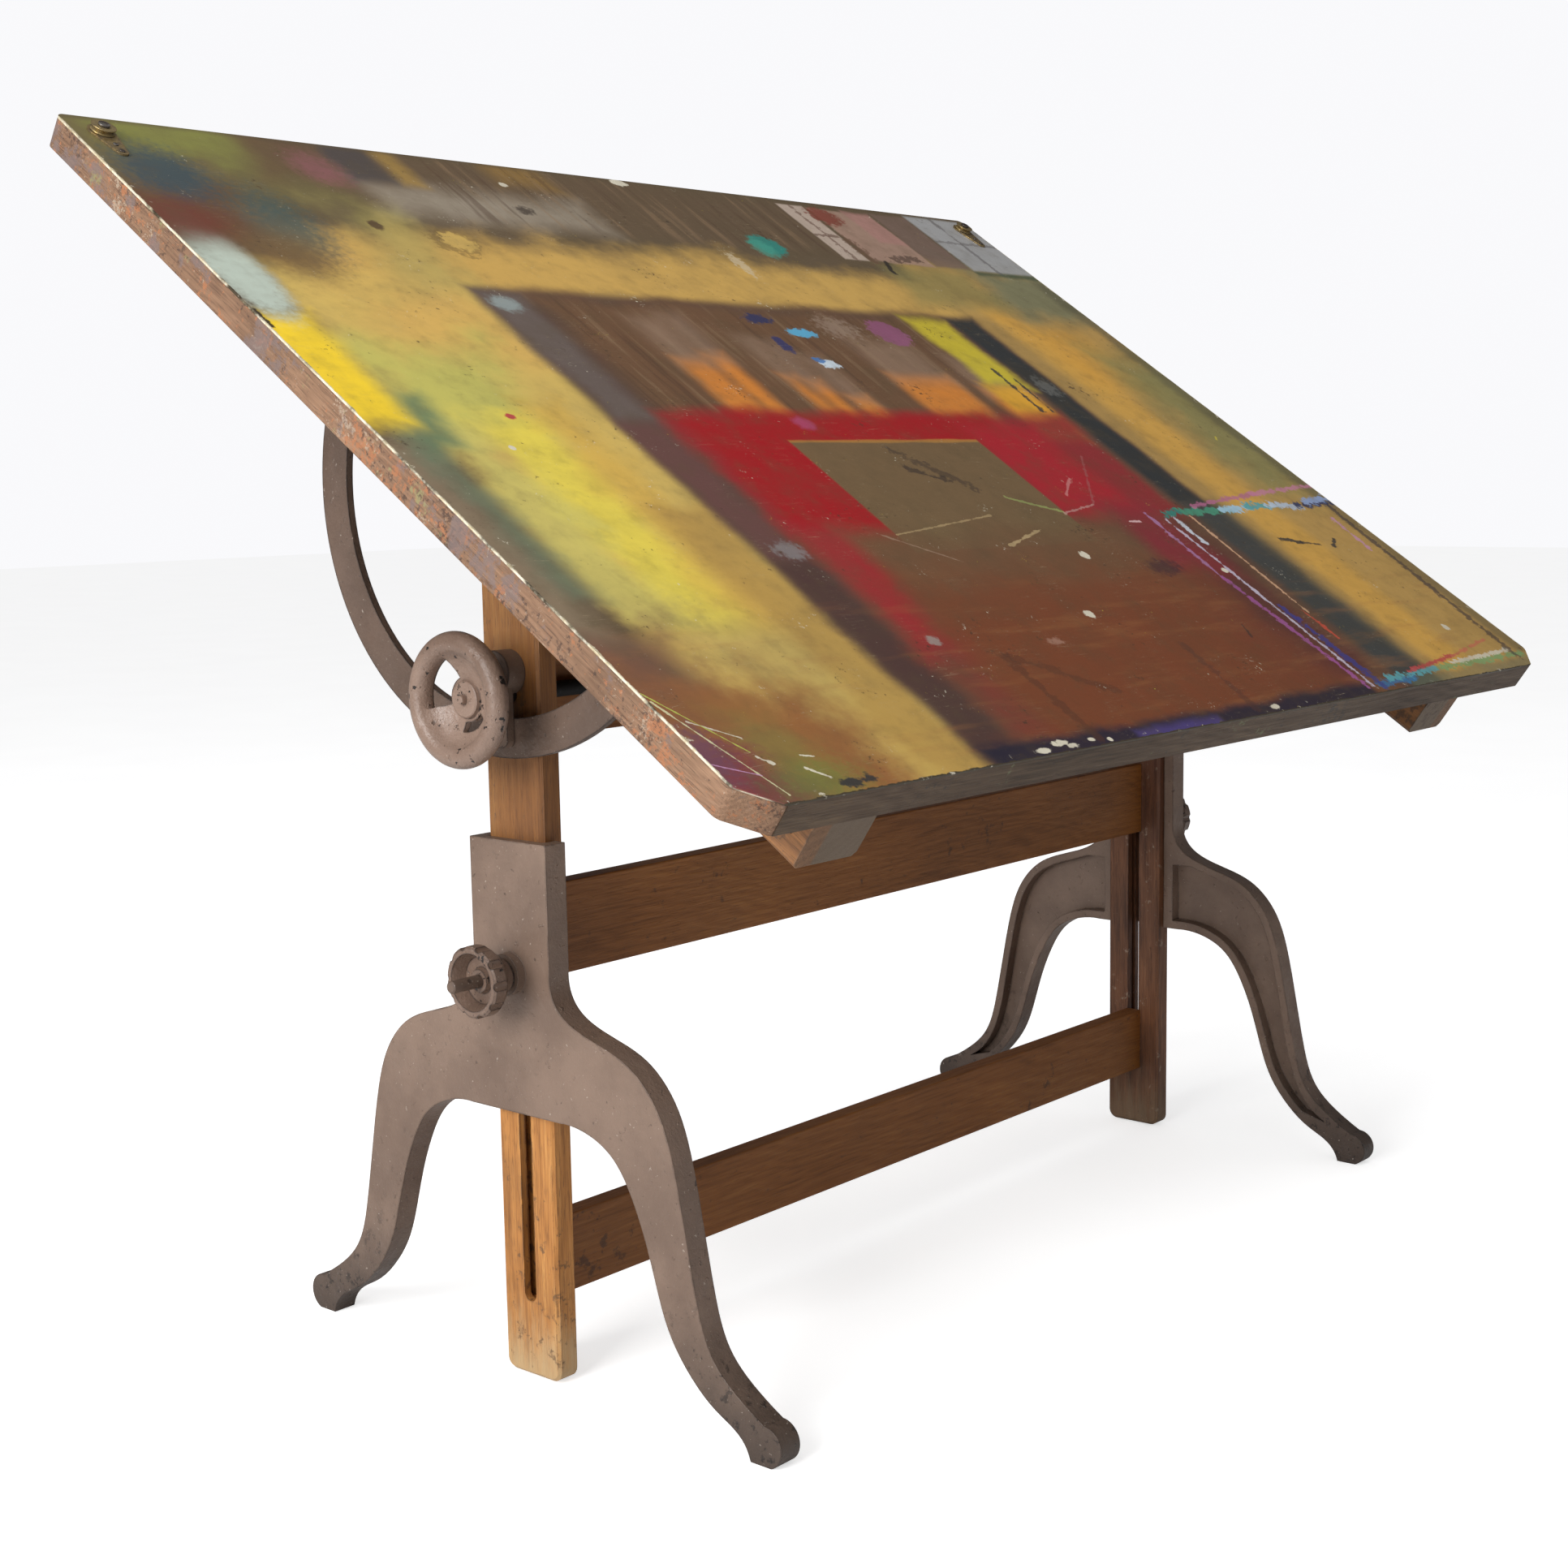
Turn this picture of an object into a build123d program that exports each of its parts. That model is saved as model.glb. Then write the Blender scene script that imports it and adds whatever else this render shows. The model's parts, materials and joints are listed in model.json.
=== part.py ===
"""Adjustable drafting table: two cast legs, a sliding timber frame and a tilting board.

Frame: millimetres, +Z up, +X along the board's length, -Y towards the user.
The origin is on the floor, midway between the four feet.
"""
from build123d import *
import math
import os

# ---------------------------------------------------------------- driving sizes
# Cast legs
LEG_FACE_X = 590.0          # outer flat face of each leg, from the middle
LEG_DEPTH = 27.0            # casting depth along X
LEG_WALL = 11.6             # outer wall behind the post
RIM_WIDTH = 11.0            # raised rim round the inner side
STEM_SIDE_WALL = 14.2       # stem metal beside the post
STEM_TOP = 551.0
CROTCH_TOP = 278.0
CROTCH_FLAT_HALF = 62.0
SHOULDER_START = 428.0
FOOT_REACH = 341.0          # how far a toe reaches from the middle
LEG_BOSS_RADIUS = 21.0
LEG_BOSS_LENGTH = 10.0

# Sliding frame
POST_WIDTH = 78.0
POST_THICK = 27.0
POST_BOTTOM = 2.0
PIVOT_OVER_POST = 59.0      # pivot line above the post's top
POST_EDGE_CHAMFER = 3.0
POST_END_ROUND = 12.0
POST_SIDE_GAP = 0.8         # between post and channel side
POST_FACE_GAP = 0.3         # between post and channel floor
STRETCHER_THICK = 23.0
STRETCHER_HOUSING = 4.0     # depth that a stretcher is let into a post
LOWER_STRETCHER_BOTTOM = 80.0
LOWER_STRETCHER_HEIGHT = 81.0
UPPER_STRETCHER_BOTTOM = 409.0
UPPER_STRETCHER_HEIGHT = 93.0
TOP_RAIL_DROP = 48.0        # lower edge below the rod's middle
TOP_RAIL_HEIGHT = 92.0
TOP_RAIL_THICK = 23.0
TOP_RAIL_GAP = 2.5          # clear space between the rod and the rail behind it

# Height clamp
HEIGHT_BOLT_Z = 419.0
HEIGHT_BOLT_RADIUS = 6.3
HEIGHT_BOLT_REACH = 78.0    # free end beyond the leg's face
BOLT_TIP_CHAMFER = 1.2
HEIGHT_TRAVEL = 330.0
SLOT_WIDTH = 17.0
BOLT_HEAD_WIDTH = 32.0
BOLT_HEAD_HEIGHT = 16.0
BOLT_HEAD_THICK = 8.4
HEAD_CLEARANCE = 0.3
SLOT_OUTER_WALL = 8.0
HEIGHT_WASHER_RADIUS = 16.0
HEIGHT_WASHER_THICK = 2.0
KNOB_RADIUS = 35.5
KNOB_SHANK_RADIUS = 17.0
KNOB_SHANK_LENGTH = 18.0
KNOB_CUP_DEPTH = 22.0
KNOB_WALL = 7.0
KNOB_SCALLOPS = 10
KNOB_SCALLOP_RADIUS = 5.0
KNOB_SCALLOP_BITE = 3.0     # how far a scallop cuts into the rim
KNOB_FLARE = 6.0            # cone between shank and cup
KNOB_SHOULDER = 8.0         # length of the cup's rounded back
KNOB_LIP = 2.0
KNOB_FLOOR_ROUND = 5.0

# Tilt clamp
ROD_ABOVE_RING = 22.0       # rod's middle above the quadrant's inner edge
ROD_RADIUS = 8.0
ROD_TIP_RADIUS = 4.5
ROD_TIP_LENGTH = 13.0
ROD_TIP_ROUND = 2.0
ROD_END_SHOW = 5.0          # rod showing beyond its nut
CLAMP_PLATE_THICK = 9.7
CLAMP_HEEL_RADIUS = 22.0
CLAMP_HEEL_RISE = 22.0      # heel centre above the rod
CLAMP_TOE_DROP = 50.0       # toe end below the rod
CLAMP_TOE_WIDTH = 34.0
CLAMP_TOE_ROUND = 8.0
WHEEL_RADIUS = 66.0
WHEEL_RIM_RADIUS = 11.0
WHEEL_HUB_RADIUS = 21.0
WHEEL_SLEEVE_RADIUS = 15.0
WHEEL_HUB_LENGTH = 38.0
WHEEL_RIM_FORWARD = 7.0     # rim middle in front of the hub's face
WHEEL_WEB_THICK = 6.0
WHEEL_WEB_SETBACK = 14.0    # back of the web behind the hub's face
WHEEL_WINDOW_ANGLE = 112.0
WHEEL_WINDOW_TURN = 52.0    # middle of the first window, above the horizontal
WHEEL_STEP_DEPTH = 7.0      # rod's shoulder behind the hub's face
WHEEL_LIP = 2.0
ROD_NUT_RADIUS = 15.0
ROD_NUT_LENGTH = 16.0
ROD_WASHER_THICK = 2.0

# Board and its irons
BOARD_LENGTH = 1524.0
BOARD_BELOW = 535.0         # pivot line to the low edge, along the slope
BOARD_ABOVE = 575.0         # pivot line to the high edge, along the slope
BOARD_THICK = 31.5
COVER_THICK = 2.0
BOARD_TILT = 34.3           # degrees from level, as modelled
BOARD_OVER_PIVOT = 29.0     # underside of the board above the pivot
END_CLEAT_WIDTH = 40.0
LOW_CORNER_X = 38.0
LOW_CORNER_Y = 30.0
LOW_CORNER_ROUND = 12.0
HIGH_CORNER_ROUND = 9.0
PIVOT_Z = 893.0
PIVOT_PIN_RADIUS = 7.0
PIN_HEAD_EXTRA = 4.0        # head's radius beyond the pin's
PIN_HEAD_THICK = 6.0
PIN_NUT_EXTRA = 4.5         # nut's corner radius beyond the pin's
PIN_NUT_THICK = 9.0
PIN_END_SHOW = 3.0
QUADRANT_OUTER = 261.0
QUADRANT_WIDTH = 39.0
QUADRANT_THICK = 8.0
QUADRANT_GAP = 0.3          # between the quadrant and the clamp plate
QUADRANT_FLANGE_WIDTH = 38.0
QUADRANT_FLANGE_THICK = 6.0
QUADRANT_EYE_RADIUS = 17.0
QUADRANT_OFFSET = 3.7       # inner face outside the post's face
QUADRANT_LUG_HALF = 46.0    # half width of the lug where it leaves the flange
QUADRANT_SCREW_RADIUS = 3.0
QUADRANT_SCREW_LENGTH = 20.0
QUADRANT_SCREW_EDGE = 7.0   # screw to the flange's long edge
QUADRANT_SCREW_END = 14.0   # end screws from the flange's end
QUADRANT_SCREW_ROW = 120.0  # inner screws from the pivot line
BATTEN_WIDTH = 85.0
BATTEN_DEPTH = 72.5
BATTEN_SETBACK = 24.0       # front end behind the board's low edge
BATTEN_BACK_SETBACK = 27.0
BATTEN_QUADRANT_GAP = 9.0   # inner end beyond the quadrant's rim
BATTEN_CHAMFER = 5.0
BATTEN_SCREW_RADIUS = 4.0
BATTEN_SCREW_LENGTH = 50.0
BATTEN_SCREW_SHARES = (0.3, 0.75)
BATTEN_BORE_RADIUS = 8.8
BATTEN_BORE_DEPTH = 40.0    # counterbore that hides each head

# Pivot bracket on each post
BRACKET_PLATE_THICK = 6.0
BRACKET_PLATE_WIDTH = 52.0
BRACKET_PLATE_DROP = 62.0   # how far the plate runs down the post
BRACKET_CAP_THICK = 6.0
BRACKET_EYE_RADIUS = 17.0
BRACKET_SCREW_RADIUS = 3.0
BRACKET_CAP_SETBACK = 4.0   # cap's edge inside the post's face
BRACKET_RIB_THICK = 8.0
BRACKET_RIB_SETBACK = 8.0
BRACKET_SCREW_LENGTH = 20.0
BRACKET_SCREW_DROPS = (20.0, 46.0)
BRACKET_SCREW_SPREAD = 15.0
SCREW_HEAD_THICK = 3.0

# Parallel-rule pulleys
PULLEY_RADIUS = 13.0
PULLEY_THICK = 6.0
PULLEY_INSET_X = 34.0
PULLEY_INSET_Y = 34.0
PULLEY_PLATE_THICK = 2.0
PULLEY_PLATE_RADIUS = 15.0
PULLEY_TAIL_LENGTH = 40.0
PULLEY_TAIL_RADIUS = 7.0
PULLEY_AXLE_RADIUS = 2.5
PULLEY_GROOVE_DEPTH = 3.0
PULLEY_LIP = 1.0
AXLE_HEAD_RADIUS = 6.0
AXLE_HEAD_THICK = 2.0
AXLE_FOOT_LENGTH = 4.0
PLATE_SCREW_RADIUS = 1.5
PLATE_SCREW_PITCH = 13.0
PLATE_SCREW_HEAD_THICK = 1.0

# Fits shared by several pieces
RUNNING_FIT = 0.05          # radial play of a turning bore
PASSING_FIT = 0.3           # radial play of a plain hole
FACE_PLAY = 0.3             # play between faces that turn on each other
SLOT_END_SPARE = 1.0        # slot left beyond the bolt at its lowest

# ---------------------------------------------------------------- derived places
POST_FACE_X = LEG_FACE_X - LEG_WALL - POST_FACE_GAP     # post's outer face
POST_INNER_X = POST_FACE_X - POST_THICK
STEM_HALF = POST_WIDTH / 2 + POST_SIDE_GAP + STEM_SIDE_WALL
POST_TOP = PIVOT_Z - PIVOT_OVER_POST
ROD_Z = PIVOT_Z - (QUADRANT_OUTER - QUADRANT_WIDTH) + ROD_ABOVE_RING
TOP_RAIL_FRONT = ROD_RADIUS + TOP_RAIL_GAP
TOP_RAIL_BOTTOM = ROD_Z - TOP_RAIL_DROP
HEIGHT_BOLT_END = LEG_FACE_X + HEIGHT_BOLT_REACH
BOSS_FACE_X = LEG_FACE_X + LEG_BOSS_LENGTH
QUADRANT_X = POST_FACE_X + QUADRANT_OFFSET              # quadrant's inner face
QUADRANT_MIDDLE_X = QUADRANT_X + QUADRANT_THICK / 2
CLAMP_PLATE_X = QUADRANT_X + QUADRANT_THICK + QUADRANT_GAP
CLAMP_FACE_X = CLAMP_PLATE_X + CLAMP_PLATE_THICK
HUB_START_X = CLAMP_FACE_X + FACE_PLAY
HUB_FACE_X = HUB_START_X + WHEEL_HUB_LENGTH
BOARD_TOP = BOARD_OVER_PIVOT + BOARD_THICK + COVER_THICK
BATTEN_INNER_END = QUADRANT_OUTER + BATTEN_QUADRANT_GAP
SLOT_BOTTOM = HEIGHT_BOLT_Z - HEIGHT_TRAVEL - BOLT_HEAD_HEIGHT / 2 - SLOT_END_SPARE
SLOT_TOP = HEIGHT_BOLT_Z + SLOT_WIDTH
LOCAL_BOARD = Pos(0, 0, PIVOT_Z) * Rot(BOARD_TILT, 0, 0)
SIDES = {"left": -1, "right": 1}


# ---------------------------------------------------------------- small helpers
def span_box(x0, x1, y0, y1, z0, z1):
    """Box between two corners, whichever way round they are given."""
    size = (abs(x1 - x0), abs(y1 - y0), abs(z1 - z0))
    middle = ((x0 + x1) / 2, (y0 + y1) / 2, (z0 + z1) / 2)
    return Pos(*middle) * Box(*size)


def x_rod(radius, x0, x1, y=0.0, z=0.0):
    """Cylinder along X between x0 and x1."""
    turned = Pos((x0 + x1) / 2, y, z) * Rot(0, 90, 0)
    return turned * Cylinder(radius, abs(x1 - x0))


def x_prism(face, x0, x1):
    """Push a face drawn in (Y, Z) from x0 to x1 along X."""
    low = min(x0, x1)
    return Pos(low, 0, 0) * extrude(Plane.YZ * face, amount=abs(x1 - x0))


def x_hexagon(across_corners, x0, x1, z):
    """Hexagonal prism along X."""
    face = Pos(0, z) * RegularPolygon(across_corners, 6)
    return x_prism(face, x0, x1)


def on_board(shape):
    """Place a shape drawn in the level board's own frame, origin on the pivot line."""
    return LOCAL_BOARD * shape


def solids_of(shapes):
    """One compound of separate solids, for fasteners that share a node."""
    found = []
    for shape in shapes:
        found.extend(shape.solids())
    return Compound(children=found)


PARTS = {}


def add(name, shape):
    """Keep a piece under its node's name."""
    PARTS[name] = shape


# ---------------------------------------------------------------- cast legs
def leg_outer_curve():
    """Upper edge of one curved leg in (Y, Z), from the stem to the toe."""
    return Spline(
        (STEM_HALF, SHOULDER_START),
        (STEM_HALF + 14, SHOULDER_START - 41),
        (112, 367),
        (160, 349),
        (195, 313),
        (214, 262),
        (226, 205),
        (239, 140),
        (258, 88),
        (FOOT_REACH - 48, 56),
        (FOOT_REACH - 20, 39),
    )


def leg_arch_curve():
    """Lower edge of one curved leg in (Y, Z), from the crotch to the sole."""
    return Spline(
        (CROTCH_FLAT_HALF, CROTCH_TOP),
        (100, 274),
        (134, 256),
        (158, 222),
        (175, 182),
        (188, 140),
        (204, 98),
        (FOOT_REACH - 112, 64),
        (FOOT_REACH - 80, 38),
        (FOOT_REACH - 52, 22),
        (FOOT_REACH - 38, 0),
    )


def leg_outline():
    """Leg's outline in (Y, Z): stem, shoulders, curved legs, toes and arch."""
    top = Line((0, STEM_TOP), (STEM_HALF, STEM_TOP))
    side = Line((STEM_HALF, STEM_TOP), (STEM_HALF, SHOULDER_START))
    toe = ThreePointArc((FOOT_REACH - 20, 39), (FOOT_REACH, 17), (FOOT_REACH - 13, 0))
    sole = Line((FOOT_REACH - 13, 0), (FOOT_REACH - 38, 0))
    crotch = Line((CROTCH_FLAT_HALF, CROTCH_TOP), (0, CROTCH_TOP))
    front = [top, side, leg_outer_curve(), toe, sole, leg_arch_curve(), crotch]
    back = [mirror(edge, about=Plane.YZ) for edge in front]
    return make_face(front + back)


def inset_points(curve, first, last, count, distance):
    """Points beside a curve, evenly spread along part of it."""
    points = []
    for index in range(count):
        share = first + (last - first) * index / (count - 1)
        place = curve @ share
        along = curve % share
        points.append((place.X - along.Y * distance, place.Y + along.X * distance))
    return points


def leg_pocket():
    """Recess inside the rim of one curved leg, in (Y, Z)."""
    upper = inset_points(leg_outer_curve(), 0.13, 0.93, 10, -RIM_WIDTH)
    lower = inset_points(leg_arch_curve(), 0.02, 0.80, 10, RIM_WIDTH)
    top_corner = (STEM_HALF, upper[0][1])
    low_corner = (STEM_HALF, lower[0][1])
    return make_face(
        [
            Line(low_corner, top_corner),
            Line(top_corner, upper[0]),
            Spline(*upper),
            Line(upper[-1], lower[-1]),
            Spline(*lower),
            Line(lower[0], low_corner),
        ]
    )


def make_leg(side):
    """One casting: flat outside, rimmed inside, with a channel for the post."""
    outline = leg_outline()
    inner_x = LEG_FACE_X - LEG_DEPTH
    floor_x = LEG_FACE_X - LEG_WALL
    body = x_prism(outline, inner_x, LEG_FACE_X)
    recess = x_prism(leg_pocket(), inner_x - 1, floor_x)
    body = body - recess - mirror(recess, about=Plane.XZ)
    channel_half = POST_WIDTH / 2 + POST_SIDE_GAP
    body = body - span_box(inner_x - 1, floor_x, -channel_half, channel_half, 0, STEM_TOP + 1)
    body = body + x_rod(LEG_BOSS_RADIUS, floor_x + 1, BOSS_FACE_X, 0, HEIGHT_BOLT_Z)
    hole = HEIGHT_BOLT_RADIUS + PASSING_FIT
    body = body - x_rod(hole, inner_x - 1, BOSS_FACE_X + 1, 0, HEIGHT_BOLT_Z)
    return body if side > 0 else mirror(body, about=Plane.YZ)


# ---------------------------------------------------------------- sliding frame
def make_post(side):
    """Timber post with a through slot that widens inside for the bolt's head."""
    half = POST_WIDTH / 2
    post = span_box(POST_INNER_X, POST_FACE_X, -half, half, POST_BOTTOM, POST_TOP)
    lower = post.edges().filter_by(Axis.X).sort_by(Axis.Z)[:2]
    post = fillet(lower, POST_END_ROUND)
    upright = post.edges().filter_by(Axis.Z)
    post = chamfer(upright, POST_EDGE_CHAMFER)
    slot_middle = (SLOT_BOTTOM + SLOT_TOP) / 2
    slot = Pos(0, slot_middle) * SlotOverall(SLOT_TOP - SLOT_BOTTOM, SLOT_WIDTH, rotation=90)
    post = post - x_prism(slot, POST_INNER_X - 1, POST_FACE_X + 1)
    head_half = BOLT_HEAD_WIDTH / 2 + HEAD_CLEARANCE
    cavity_outer = POST_FACE_X - SLOT_OUTER_WALL
    cavity_inner = cavity_outer - BOLT_HEAD_THICK - 2 * HEAD_CLEARANCE
    post = post - span_box(
        cavity_inner, cavity_outer, -head_half, head_half, SLOT_BOTTOM, SLOT_TOP
    )
    for bottom, height in (
        (LOWER_STRETCHER_BOTTOM, LOWER_STRETCHER_HEIGHT),
        (UPPER_STRETCHER_BOTTOM, UPPER_STRETCHER_HEIGHT),
    ):
        post = post - span_box(
            POST_INNER_X - 1,
            POST_INNER_X + STRETCHER_HOUSING,
            -STRETCHER_THICK / 2,
            STRETCHER_THICK / 2,
            bottom,
            bottom + height,
        )
    post = post - x_rod(ROD_RADIUS + PASSING_FIT, POST_INNER_X - 1, POST_FACE_X + 1, 0, ROD_Z)
    for y, z in bracket_screw_places():
        deep = POST_INNER_X + BRACKET_SCREW_LENGTH
        post = post - x_rod(BRACKET_SCREW_RADIUS, POST_INNER_X - 1, deep, y, z)
    return post if side > 0 else mirror(post, about=Plane.YZ)


def make_stretcher(bottom, height):
    """Rail let into both posts, centred on them."""
    end = POST_INNER_X + STRETCHER_HOUSING
    half = STRETCHER_THICK / 2
    return span_box(-end, end, -half, half, bottom, bottom + height)


def make_top_rail():
    """Rail between the post tops, behind the clamp rod."""
    back = TOP_RAIL_FRONT + TOP_RAIL_THICK
    top = TOP_RAIL_BOTTOM + TOP_RAIL_HEIGHT
    return span_box(-POST_INNER_X, POST_INNER_X, TOP_RAIL_FRONT, back, TOP_RAIL_BOTTOM, top)


# ---------------------------------------------------------------- height clamp
def make_height_bolt(side):
    """T-headed bolt, its head inside the post's slot."""
    outer = POST_FACE_X - SLOT_OUTER_WALL - HEAD_CLEARANCE
    inner = outer - BOLT_HEAD_THICK
    half_y = BOLT_HEAD_WIDTH / 2
    half_z = BOLT_HEAD_HEIGHT / 2
    head = span_box(
        inner, outer, -half_y, half_y, HEIGHT_BOLT_Z - half_z, HEIGHT_BOLT_Z + half_z
    )
    bolt = head + x_rod(HEIGHT_BOLT_RADIUS, inner, HEIGHT_BOLT_END, 0, HEIGHT_BOLT_Z)
    tip = bolt.faces().sort_by(Axis.X)[-1].edges()
    bolt = chamfer(tip, BOLT_TIP_CHAMFER)
    return bolt if side > 0 else mirror(bolt, about=Plane.YZ)


def make_height_washer(side):
    """Plain washer between boss and knob."""
    end = BOSS_FACE_X + HEIGHT_WASHER_THICK
    washer = x_rod(HEIGHT_WASHER_RADIUS, BOSS_FACE_X, end, 0, HEIGHT_BOLT_Z)
    hole = x_rod(HEIGHT_BOLT_RADIUS + PASSING_FIT, BOSS_FACE_X - 1, end + 1, 0, HEIGHT_BOLT_Z)
    washer = washer - hole
    return washer if side > 0 else mirror(washer, about=Plane.YZ)


def make_height_knob(side):
    """Cupped hand nut with a scalloped rim, turned about the bolt."""
    start = BOSS_FACE_X + HEIGHT_WASHER_THICK + FACE_PLAY
    neck = start + KNOB_SHANK_LENGTH
    front = neck + KNOB_CUP_DEPTH
    floor = front - KNOB_CUP_DEPTH + KNOB_WALL
    bore = HEIGHT_BOLT_RADIUS + RUNNING_FIT
    hub = HEIGHT_BOLT_RADIUS + KNOB_WALL
    profile = Polyline(
        (start, bore),
        (start, KNOB_SHANK_RADIUS),
        (neck - KNOB_FLARE, KNOB_SHANK_RADIUS),
        (neck, KNOB_RADIUS - KNOB_FLARE),
        (neck + KNOB_SHOULDER, KNOB_RADIUS),
        (front - KNOB_LIP, KNOB_RADIUS),
        (front, KNOB_RADIUS - KNOB_LIP),
        (front, KNOB_RADIUS - KNOB_WALL),
        (floor, KNOB_RADIUS - KNOB_WALL - KNOB_FLOOR_ROUND),
        (floor, hub),
        (floor + KNOB_FLOOR_ROUND, hub - KNOB_LIP),
        (floor + KNOB_FLOOR_ROUND, bore),
        close=True,
    )
    knob = revolve(make_face(profile), Axis.X, 360)
    for index in range(KNOB_SCALLOPS):
        angle = math.radians(index * 360 / KNOB_SCALLOPS)
        reach = KNOB_RADIUS + KNOB_SCALLOP_RADIUS - KNOB_SCALLOP_BITE
        knob = knob - x_rod(
            KNOB_SCALLOP_RADIUS,
            neck - 1,
            front + 1,
            reach * math.cos(angle),
            reach * math.sin(angle),
        )
    knob = Pos(0, 0, HEIGHT_BOLT_Z) * knob
    return knob if side > 0 else mirror(knob, about=Plane.YZ)


# ---------------------------------------------------------------- tilt clamp
def make_tie_rod():
    """Rod through both posts, stepped down at the wheel's end, which is -X."""
    step = HUB_FACE_X - WHEEL_STEP_DEPTH
    nut_end = CLAMP_FACE_X + ROD_WASHER_THICK + ROD_NUT_LENGTH + ROD_END_SHOW
    rod = x_rod(ROD_RADIUS, -step, nut_end, 0, ROD_Z)
    rod = rod + x_rod(ROD_TIP_RADIUS, -(step + ROD_TIP_LENGTH), -step, 0, ROD_Z)
    tip = rod.faces().sort_by(Axis.X)[0].edges()
    return fillet(tip, ROD_TIP_ROUND)


def make_clamp_plate(side):
    """Plate whose heel bears on the post and whose toe presses the quadrant."""
    heel_z = ROD_Z + CLAMP_HEEL_RISE
    toe_z = ROD_Z - CLAMP_TOE_DROP
    half = CLAMP_TOE_WIDTH / 2
    plate = span_box(CLAMP_PLATE_X, CLAMP_FACE_X, -half, half, toe_z, heel_z)
    foot = plate.edges().filter_by(Axis.X).sort_by(Axis.Z)[:2]
    plate = fillet(foot, CLAMP_TOE_ROUND)
    plate = plate + x_rod(CLAMP_HEEL_RADIUS, POST_FACE_X, CLAMP_FACE_X, 0, heel_z)
    plate = plate - x_rod(
        ROD_RADIUS + PASSING_FIT, POST_FACE_X - 1, CLAMP_FACE_X + 1, 0, ROD_Z
    )
    return plate if side > 0 else mirror(plate, about=Plane.YZ)


def make_handwheel():
    """Dished wheel with a round rim and two windows, on the rod's -X end."""
    rim_x = HUB_FACE_X + WHEEL_RIM_FORWARD
    rim_middle = WHEEL_RADIUS - WHEEL_RIM_RADIUS
    web_back = HUB_FACE_X - WHEEL_WEB_SETBACK
    web_front = web_back + WHEEL_WEB_THICK
    step = HUB_FACE_X - WHEEL_STEP_DEPTH
    hub = make_face(
        Polyline(
            (HUB_START_X, ROD_RADIUS + RUNNING_FIT),
            (HUB_START_X, WHEEL_SLEEVE_RADIUS),
            (web_back - 6, WHEEL_SLEEVE_RADIUS),
            (web_back, WHEEL_HUB_RADIUS),
            (HUB_FACE_X - WHEEL_LIP, WHEEL_HUB_RADIUS),
            (HUB_FACE_X, WHEEL_HUB_RADIUS - WHEEL_LIP),
            (HUB_FACE_X, ROD_TIP_RADIUS + RUNNING_FIT),
            (step, ROD_TIP_RADIUS + RUNNING_FIT),
            (step, ROD_RADIUS + RUNNING_FIT),
            close=True,
        )
    )
    web = make_face(
        Polyline(
            (web_back, WHEEL_HUB_RADIUS - WHEEL_LIP),
            (rim_x - 9, rim_middle - 1),
            (rim_x - 2, rim_middle - 4),
            (web_front + 1, WHEEL_HUB_RADIUS - WHEEL_LIP),
            close=True,
        )
    )
    rim = Pos(rim_x, rim_middle) * Circle(WHEEL_RIM_RADIUS)
    web_ring = revolve(web, Axis.X, 360)
    window = Plane.YZ * (Circle(rim_middle - WHEEL_RIM_RADIUS) - Circle(WHEEL_HUB_RADIUS + 3))
    wedge = wheel_window_wedge()
    for turn in (0, 180):
        cutter = extrude(window, amount=60) & wedge.rotate(Axis.X, turn)
        web_ring = web_ring - Pos(web_back - 20, 0, 0) * cutter
    wheel = revolve(hub, Axis.X, 360) + revolve(rim, Axis.X, 360) + web_ring
    wheel = Pos(0, 0, ROD_Z) * wheel
    return mirror(wheel, about=Plane.YZ)


def wheel_window_wedge():
    """Wedge that spans one window's angle, aimed up and to the back."""
    half = math.radians(WHEEL_WINDOW_ANGLE / 2)
    middle = math.radians(WHEEL_WINDOW_TURN)
    reach = 2 * WHEEL_RADIUS
    corners = [(0, 0)]
    for angle in (middle - half, middle, middle + half):
        corners.append((reach * math.cos(angle), reach * math.sin(angle)))
    face = make_face(Polyline(*corners, close=True))
    return extrude(Plane.YZ * face, amount=80)


def make_rod_nut():
    """Hexagon nut and washer that close the rod's +X end, in one piece."""
    start = CLAMP_FACE_X + ROD_WASHER_THICK
    end = start + ROD_NUT_LENGTH
    washer = x_rod(ROD_NUT_RADIUS + 2, CLAMP_FACE_X, start, 0, ROD_Z)
    nut = x_hexagon(ROD_NUT_RADIUS, start, end, ROD_Z) + washer
    return nut - x_rod(ROD_RADIUS, CLAMP_FACE_X - 1, end + 1, 0, ROD_Z)


# ---------------------------------------------------------------- pivot brackets
def bracket_screw_places():
    """(Y, Z) of the screws that hold a bracket's plate to its post."""
    rows = [POST_TOP - drop for drop in BRACKET_SCREW_DROPS]
    return [(y, z) for z in rows for y in (-BRACKET_SCREW_SPREAD, BRACKET_SCREW_SPREAD)]


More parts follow.
